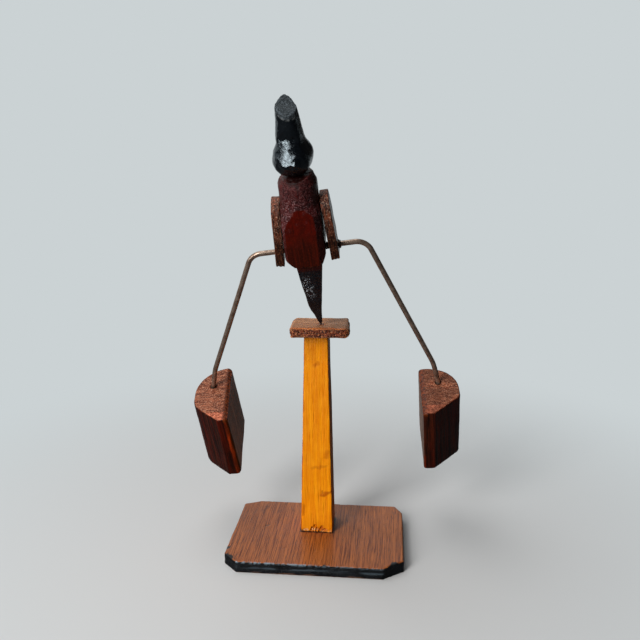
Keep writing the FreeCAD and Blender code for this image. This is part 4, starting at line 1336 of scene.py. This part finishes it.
# %% The wings' material
wing_finish, tree, shader, place = open_material(
    "stained wing", BIRD, shift=(4, 9, 2), Specular_IOR_Level=0.3)
grain = use(tree, grain_group, place, ring_width=1.6, wander=1.4, fibre_width=0.8,
            fibre_length=10, pore_spacing=1.6)
marks = use(tree, handling_group, place, patch_size=4, speck_size=0.8, speck_share=0.55)
saw = use(tree, saw_group, place, row_spacing=1.1, row_length=1.6)
wear = use(tree, wear_group, place, amount=1.0, patch_size=1.0)
stain = layered(
    tree, mix(tree, grain["Rings"], colour(66, 31, 16), colour(42, 18, 9)),
    (grain["Fibre"], 1, colour(18, 7, 4)),
    (marks["Specks"], 0.3, colour(150, 92, 52)))
pale = layered(
    tree, mix(tree, marks["Patches"], colour(150, 80, 52), colour(92, 46, 28)),
    (grain["Fibre"], 1, colour(34, 14, 8)),
    (saw["Pits"], 0.6, colour(40, 18, 12)),
    (marks["Specks"], 0.55, colour(206, 166, 142)))
base = layered(
    tree, stain,
    # Pale sawn edges that fade towards the foot as painted shade
    (painted(tree, "pale"), 1, pale),
    (grain["Pores"], 0.7, colour(28, 12, 9)),
    (wear["Worn"], 0.5, colour(156, 104, 80)))
rough = plus(tree, 0.34, painted(tree, "pale"), 0.25)
finish_material(tree, shader, base, rough, grain["Height"], 0.2)
print("Made", wing_finish.name)

# %% [markdown]
# ## The wings
#
# Both wings follow one rule: flat faces with a little warp, sawn edges with torn fibres,
# and a lower end that was snapped rather than cut, so its fibres end at different
# heights.

# %% Carve and paint both wings
def wing_rule(seed, foot):
    """The carving rule of one wing, with its own seed and the height of its foot."""
    def rule(point, normal):
        edge = step(-normal.y, 0.3, 0.8)
        warp = 0.25 * ripple(point, 8, seed) + 0.12 * ripple(point, 3, seed + 1, (1, 1, 2))
        torn = edge * (0.3 * ripple(point, 1.4, seed + 3, (1, 1, 3))
                       + 0.1 * ripple(point, 0.6, seed + 5))
        snapped = step(foot + 2.0 - point.z, 0.0, 2.0) * ripple(point, 1.3, seed + 7)
        return normal * (warp + torn) + Vector((0, 0, 0.9 * snapped))
    return rule


def wing_pale(foot):
    """The pale sawn edges of one wing, which darken towards its foot as painted shade."""
    def rule(point, normal):
        edge = max(step(-normal.y, 0.1, 0.6), step(normal.z, 0.4, 0.8))
        # Painted light and shade: paler high up, darker towards the foot
        upper = step(point.z + 3 * ripple(point, 4, 2), foot + 10, foot + 30)
        return edge * (0.06 + 0.94 * upper)
    return rule


for side, seed, foot in (("left", 3, 47.8), ("right", 14, 49.0)):
    wing = skin_of(side + "_wing", side + "_wing_board", 0.34)
    work(wing, BIRD, wing_rule(seed, foot), pale=wing_pale(foot))
    settle(wing, "bird", "wing_wood", wing_finish)

# %% [markdown]
# ## Finish: varnished weights
#
# The weights are a coarse dark wood. Their sides have several coats of dark red-brown
# varnish, almost black in places. The sawn ends drank the varnish and stayed rough: they
# are a dusty brown pink, with pores and rings, and torn fresh wood at the front corner.
# The flat inner faces are duller and greyer, their grey partly a painted sheen. The
# rounded edge above them was sanded to red wood, and a redder strip runs down beside
# each front edge as a painted highlight. The sawn ends of the right weight carry painted
# shade, and the mouth of each rod hole is painted dark as shade.

# %% The weights' material
weight_finish, tree, shader, place = open_material(
    "dark weight varnish", BIRD, shift=(31, 22, 0), Specular_IOR_Level=0.16,
    Coat_Weight=0.03, Coat_Roughness=0.2)
grain = use(tree, grain_group, place, ring_width=3.4, wander=2.5, fibre_width=1.7,
            pore_spacing=1.3)
broad = use(tree, grain_group, place, ring_width=7.0, wander=1.5, fibre_width=4.5,
            pore_spacing=3.0)
marks = use(tree, handling_group, place, patch_size=6, speck_size=0.9, speck_share=0.6)
saw = use(tree, saw_group, place, row_spacing=1.1, row_length=3.5)
wear = use(tree, wear_group, place, amount=1.0, patch_size=1.4)
ends = painted(tree, "end")
olive = mix(tree, grain["Fibre"], colour(62, 29, 14), colour(28, 13, 7))
# The inner face's pale grey is partly a painted sheen
dull = layered(
    tree, mix(tree, grain["Fibre"], colour(154, 130, 118), colour(66, 50, 44)),
    (broad["Fibre"], 0.5, colour(118, 97, 86)))
side = layered(
    tree, mix(tree, grain["Fibre"], colour(74, 17, 6), colour(26, 7, 4)),
    (broad["Fibre"], 0.65, olive),
    # Painted highlight: a brighter red strip beside the front edge
    (painted(tree, "red strip"), 1, mix(
        tree, grain["Fibre"], colour(166, 54, 11), colour(62, 14, 5))),
    (painted(tree, "dull face"), 1, dull),
    (painted(tree, "inner edge"), 1, mix(
        tree, grain["Fibre"], colour(116, 52, 20), colour(52, 19, 6))))
pores = calc(tree, "MAXIMUM", saw["Pits"], calc(tree, "MULTIPLY", grain["Pores"], 0.5))
end_wood = layered(
    tree, mix(tree, saw["Rows"], colour(84, 38, 23), colour(162, 100, 73)),
    (marks["Patches"], 0.4, colour(150, 78, 48)),
    (marks["Specks"], 0.6, colour(206, 152, 124)),
    (pores, 0.8, colour(70, 30, 20)),
    (painted(tree, "fresh"), 1, mix(
        tree, grain["Fibre"], colour(216, 126, 94), colour(146, 70, 46))),
    # Painted shade on the sawn ends, most on the right weight
    (painted(tree, "aged"), 1, colour(76, 44, 31)))
base = layered(
    tree, mix(tree, ends, side, end_wood),
    (wear["Worn"], 0.4, colour(124, 58, 36)),
    # Painted shade in the mouth of the rod's hole
    (painted(tree, "hole"), 1, colour(16, 7, 6)))
rough = plus(tree, 0.3, ends, 0.3)
height = plus(tree, grain["Height"], saw["Height"], ends)
finish_material(tree, shader, base, rough, height, 0.2)
print("Made", weight_finish.name)

# %% [markdown]
# ## The weights
#
# Each weight hangs in its own direction, so its rules need to know which way its length
# runs and where the rod enters. The rod's layout gives both, and is worked out first: two
# corners, a gentle lower bend on each side, and a straight run into each weight.

# %% Lay out the rod in the bird's frame
class Arm:
    """One arm of the rod: corner, lower bend, entry into the weight and hidden end."""

    def __init__(self, side, reach, height, slope, drop, tip_slope, weight_drop, embed):
        self.corner = Vector((side * reach, 0, height))
        spread = drop * tan(radians(slope))
        self.bend = self.corner + Vector((side * spread, -6.75, -drop))
        tilt = radians(tip_slope)
        self.heading = Vector((side * sin(tilt), 0, -cos(tilt)))
        self.entry = self.bend + self.heading * (weight_drop / cos(tilt))
        self.end = self.entry + self.heading * embed


left_arm = Arm(-1, 34.4, 53.95, 25.13, 77.96, 16.0, 13.5, 9.0)
right_arm = Arm(1, 32.3, 55.85, 21.35, 90.6, 9.2, 16.5, 42.0)
print("The left weight hangs", round(-left_arm.entry.z, 1), "mm below the point")

# %% [markdown]
# ### Carving and painting a weight
#
# In a weight's own frame the rod enters at the origin and the wood hangs below it. The
# sawn ends get ridges from the saw, torn rims and a ragged hole. The sides only wander a
# little, because they were planed and then varnished.

# %% Carve and paint both weights
class WeightForm:
    """One weight: its side, inner face, front and eased edge, and where its marks lie."""

    def __init__(self, side, inner, front, ease, strip_start, aged, seed):
        self.side = side
        self.inner = inner
        self.front = front
        self.ease = ease
        self.strip_start = strip_start
        self.aged = aged
        self.seed = seed

    def carving(self, point, normal):
        """Wandering sides, saw ridges and torn rims at the ends, and a frayed rod hole."""
        end = step(abs(normal.z), 0.5, 0.9)
        wander = 0.2 * ripple(point, 14, self.seed) + 0.06 * ripple(point, 3, self.seed + 2)
        lines = 0.05 * ripple(point, 1.0, self.seed + 4, (1, 1, 25)) * (1 - end)
        saw = 0.08 * ripple(point, 0.9, self.seed + 5, (9, 1, 1)) * end
        rim = 1 - abs(2 * step(abs(normal.z), 0.2, 0.98) - 1)
        torn = 0.45 * rim * max(0.0, ripple(point, 1.8, self.seed + 7) - 0.1)
        mouth = Vector((point.x, point.y)).length
        ragged = step(3.4 - mouth, 0, 1.2) * step(point.z, -1.5, -0.3)
        frayed = 0.5 * ragged * (ripple(point, 1.1, self.seed + 9) - 0.3)
        past = max(0.0, -self.side * point.x - self.inner + 3.2) / 3.2
        eased = 1.3 * past * past * step(point.z, -1.5, -0.1)
        return normal * (wander + lines + saw - torn) + Vector((0, 0, min(0.15, frayed) - eased))

    def end_grain(self, point, normal):
        """The sawn ends, up to the ragged line where the eased inner edge begins."""
        ragged = 0.5 * ripple(point, 2.0, self.seed)
        inner_edge = step(-self.side * point.x + ragged, self.inner - 3.6, self.inner - 2.4)
        flat = step(abs(normal.z) + 0.08 * ripple(point, 1.4, 3), 0.62, 0.86)
        return flat * (1 - 0.9 * inner_edge)

    def hole(self, point, normal):
        """Painted shade in the mouth of the rod's hole."""
        mouth = Vector((point.x, point.y)).length + 0.5 * ripple(point, 1.0, 6)
        return step(2.7 - mouth, 0, 0.8) * step(point.z, -6, -4)

    def dull_face(self, point, normal):
        """1 on the flat inner face, whose grey is partly a painted sheen."""
        return step(-self.side * normal.x, 0.85, 0.98)

    def red_strip(self, point, normal):
        """A painted highlight: the redder strip beside the front edge of the inner face."""
        across = -self.side * point.x - self.inner + self.ease + 0.9 * ripple(
            point, 2.5, self.seed, (1, 1, 4))
        strip = step(across, -0.7, 0.0) * step(1.6 - across, 0.0, 0.6)
        strip *= 0.35 + 0.65 * step(ripple(point, 3.5, self.seed + 6, (1, 1, 3)), -0.35, 0.15)
        strip *= step(-point.y, self.front - self.ease - 0.8, self.front - self.ease + 0.4)
        strip *= 0.85 * step(-point.z, self.strip_start, self.strip_start + 4)
        return strip * (0.8 + 0.2 * ripple(point, 5, self.seed))

    def fresh(self, point, normal):
        """Torn, unfaded wood where the top end meets the front edge."""
        near = -point.y - self.front + 8.0 + 1.5 * ripple(point, 2.2, self.seed + 11)
        return step(near, 0.0, 1.2) * step(point.z, -4, -2) * step(normal.z, 0.3, 0.6)

    def inner_edge(self, point, normal):
        """The rounded edge between the top end and the inner face, sanded to red wood."""
        across = -self.side * point.x - self.inner + 0.4 * ripple(point, 2, self.seed + 8)
        return step(across, -3.6, -2.8) * step(point.z, -3.2, -1.6)

    def tone(self, point, normal):
        """Painted shade: how much darker the sawn ends are, in broad patches."""
        return self.aged * step(ripple(point, 7, self.seed + 1), -0.6, 0.3)


def hung(arm, side, turn, tilt):
    """The home frame of a weight that hangs from an arm."""
    return (
        BIRD
        @ Matrix.Translation(arm.entry * MM)
        @ Matrix.Rotation(radians(-side * turn), 4, "Z")
        @ Matrix.Rotation(radians(-side * tilt), 4, "Y")
    )


left_form = WeightForm(
    side=-1, inner=11.1, front=32.3, ease=2.4, strip_start=-4, aged=0.1, seed=3)
right_form = WeightForm(
    side=1, inner=11.7, front=28.4, ease=1.4, strip_start=36, aged=0.6, seed=24)
WEIGHTS = [
    ("left_weight", hung(left_arm, -1, 2.0, 0.0), left_form),
    ("right_weight", hung(right_arm, 1, 2.4, -1.1), right_form),
]
for node, home, form in WEIGHTS:
    weight = skin_of(node, node + "_block", 0.5)
    work(weight, home, form.carving, end=form.end_grain, hole=form.hole,
         dull_face=form.dull_face, red_strip=form.red_strip, fresh=form.fresh,
         inner_edge=form.inner_edge, aged=form.tone)
    settle(weight, "bird", "weight_varnish", weight_finish)

# %% [markdown]
# ## Finish: tarnished wire
#
# The rod is mild steel wire that has gone brown. It is still a metal, so it mirrors the
# room softly: pale above and dark below. Brown patches of rust are duller, and the metal
# between them shines more.

# %% The rod's material
wire_finish, tree, shader, place = open_material("tarnished wire", BIRD, Metallic=0.75)
marks = use(tree, handling_group, place, patch_size=3, speck_size=0.5, speck_share=0.4)
base = layered(
    tree, mix(tree, marks["Patches"], colour(172, 151, 135), colour(118, 97, 83)),
    (marks["Specks"], 0.4, colour(78, 50, 37)))
rough = plus(tree, 0.22, marks["Patches"], 0.16)
finish_material(tree, shader, base, rough, marks["Specks"], 0.015)
print("Made", wire_finish.name)

# %% [markdown]
# ## The rod
#
# One wire, bent cold. A curve follows its straight runs and arcs, and a round bevel gives
# it thickness. Turned into a mesh, it gets the small flats that pliers leave at each
# corner, and a slight waviness that tells it from a drawn line.

# %% Bend and carve the rod
ROD_RADIUS = 1.56
LOWER_BEND, UPPER_BEND = 30.0, 9.2


def bent_line(points, radii, run_step=2.0, turn_step=4.0):
    """Points along straight runs that are joined by arcs of the given radii."""
    line = [points[0]]
    for before, corner, after, radius in zip(points, points[1:], points[2:], radii):
        back = (before - corner).normalized()
        ahead = (after - corner).normalized()
        half = back.angle(ahead) / 2
        centre = corner + (back + ahead).normalized() * (radius / sin(half))
        arm = corner + back * (radius / tan(half)) - centre
        axis = arm.cross(corner + ahead * (radius / tan(half)) - centre)
        steps = max(3, round((180 - 360 * half / pi) / turn_step))
        arc = [
            centre + Matrix.Rotation((pi - 2 * half) * i / steps, 3, axis) @ arm
            for i in range(steps + 1)]
        line += straight(line[-1], arc[0], run_step) + arc[1:]
    return line + straight(line[-1], points[-1], run_step)


def straight(start, end, run_step):
    """Evenly spaced points after start, up to and with end."""
    count = max(1, round((end - start).length / run_step))
    return [start.lerp(end, (i + 1) / count) for i in range(count)]


def wire(name, line, radius, home):
    """A round wire along a line, as a mesh with closed ends."""
    data = bpy.data.curves.new(name, "CURVE")
    data.dimensions = "3D"
    data.bevel_depth = radius * MM
    data.bevel_resolution = 5
    data.use_fill_caps = True
    spline = data.splines.new("POLY")
    spline.points.add(len(line) - 1)
    for knot, point in zip(spline.points, line):
        knot.co = (*(home @ (point * MM)), 1.0)
    guide = bpy.data.objects.new(name + "_guide", data)
    bpy.context.scene.collection.objects.link(guide)
    graph = bpy.context.evaluated_depsgraph_get()
    mesh = bpy.data.meshes.new_from_object(guide.evaluated_get(graph))
    bpy.data.objects.remove(guide)
    return new_piece(name, mesh)


ROD_POINTS = [
    left_arm.end, left_arm.bend, left_arm.corner, right_arm.corner, right_arm.bend,
    right_arm.end]


def rod_rule(point, normal):
    """The pliers' flats at the upper corners, and a slight sway of the arms."""
    bite = 0.0
    for corner in (left_arm.corner, right_arm.corner):
        for shift in (-1, 1):
            away = (point - corner - Vector((shift * 6.0, 0, -1.5))).length
            bite += 0.08 * step(9.5 - away, 0, 3.0) * step(abs(normal.y), 0.6, 0.95)
    sway = Vector((0.08 * ripple(point, 30, 2), 0.12 * ripple(point, 26, 5), 0))
    return sway * step(-point.z, -50, -30) - normal * (bite - 0.03 * ripple(point, 2, 8))


bends = [LOWER_BEND, UPPER_BEND, UPPER_BEND, LOWER_BEND]
rod = wire("bent_wire", bent_line(ROD_POINTS, bends), ROD_RADIUS, BIRD)
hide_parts("balance_rod")
work(rod, BIRD, rod_rule)
rod.data.shade_smooth()
settle(rod, "bird", "rod_steel", wire_finish)

# %% [markdown]
# ## Finish: hardened glue
#
# Dark brown glue was smeared round the rod at the right wing. It set glossy and lumpy and
# is nearly black where it is thick.

# %% The glue's material and beads
glue_finish, tree, shader, place = open_material(
    "hardened glue", BIRD, Specular_IOR_Level=0.55)
marks = use(tree, handling_group, place, patch_size=2, speck_size=0.4, speck_share=0.3)
folds = use(tree, wrinkle_group, place, wrinkle_size=1.2, stroke_length=1.0)
base = mix(tree, marks["Patches"], colour(34, 12, 6), colour(76, 38, 22))
rough = plus(tree, 0.3, marks["Specks"], 0.2)
finish_material(tree, shader, base, rough, folds["Height"], 0.15)


def glue_rule(point, normal):
    """Lumps, on a bead that shrank as it set."""
    return normal * (0.7 * ripple(point, 1.7, 4) + 0.15 * ripple(point, 0.7, 7) - 0.6)


for node in ("outer_glue_bead", "inner_glue_bead"):
    bead = skin_of(node, node.replace("bead", "lump"), 0.2)
    work(bead, BIRD, glue_rule)
    settle(bead, "bird", "hard_glue", glue_finish)

# %% [markdown]
# ## Small hardware
#
# The pin, the ball at its end, the nail and the screw keep their solids, because a turned
# or drawn steel part has just that shape. They only need steel that has been handled.
# The dowels are out of sight inside the wood and are left bare.

# %% Finishes of the pieces that keep their solids
def steel(name, pale, dark, roughness):
    """Handled steel: two greys in small patches, and duller specks."""
    material, tree, shader, place = open_material(name, Metallic=0.85)
    marks = use(tree, handling_group, place, patch_size=0.8, speck_size=0.25, speck_share=0.4)
    base = mix(tree, marks["Patches"], pale, dark)
    rough = plus(tree, roughness, marks["Specks"], 0.3)
    finish_material(tree, shader, base, rough, marks["Patches"], 0.02)
    return material


dowel_finish, tree, shader, place = open_material("bare dowel", BIRD, shift=(2, 3, 0))
grain = use(tree, grain_group, place, ring_width=1.5, fibre_width=0.3, pore_spacing=0.6)
base = layered(
    tree, mix(tree, grain["Rings"], colour(206, 172, 126), colour(180, 142, 98)),
    (grain["Pores"], 0.5, colour(120, 84, 52)))
finish_material(tree, shader, base, remap(tree, grain["Fibre"], 0, 1, 0.6, 0.8),
                grain["Height"], 0.05)

pin_finish = steel("dark pin steel", colour(52, 48, 46), colour(24, 20, 20), 0.35)
screw_finish = steel("screw steel", colour(170, 166, 158), colour(120, 114, 106), 0.3)
KEPT = {
    "post_screw": screw_finish,
    "bearing_nail": pin_finish,
    "pin_ball": pin_finish,
    "tail_pin": pin_finish,
    "neck_dowel": dowel_finish,
    "tail_dowel": dowel_finish,
}
for node, material in KEPT.items():
    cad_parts[node].material_slots[0].material = material
print("Gave", len(KEPT), "kept solids their finishes")
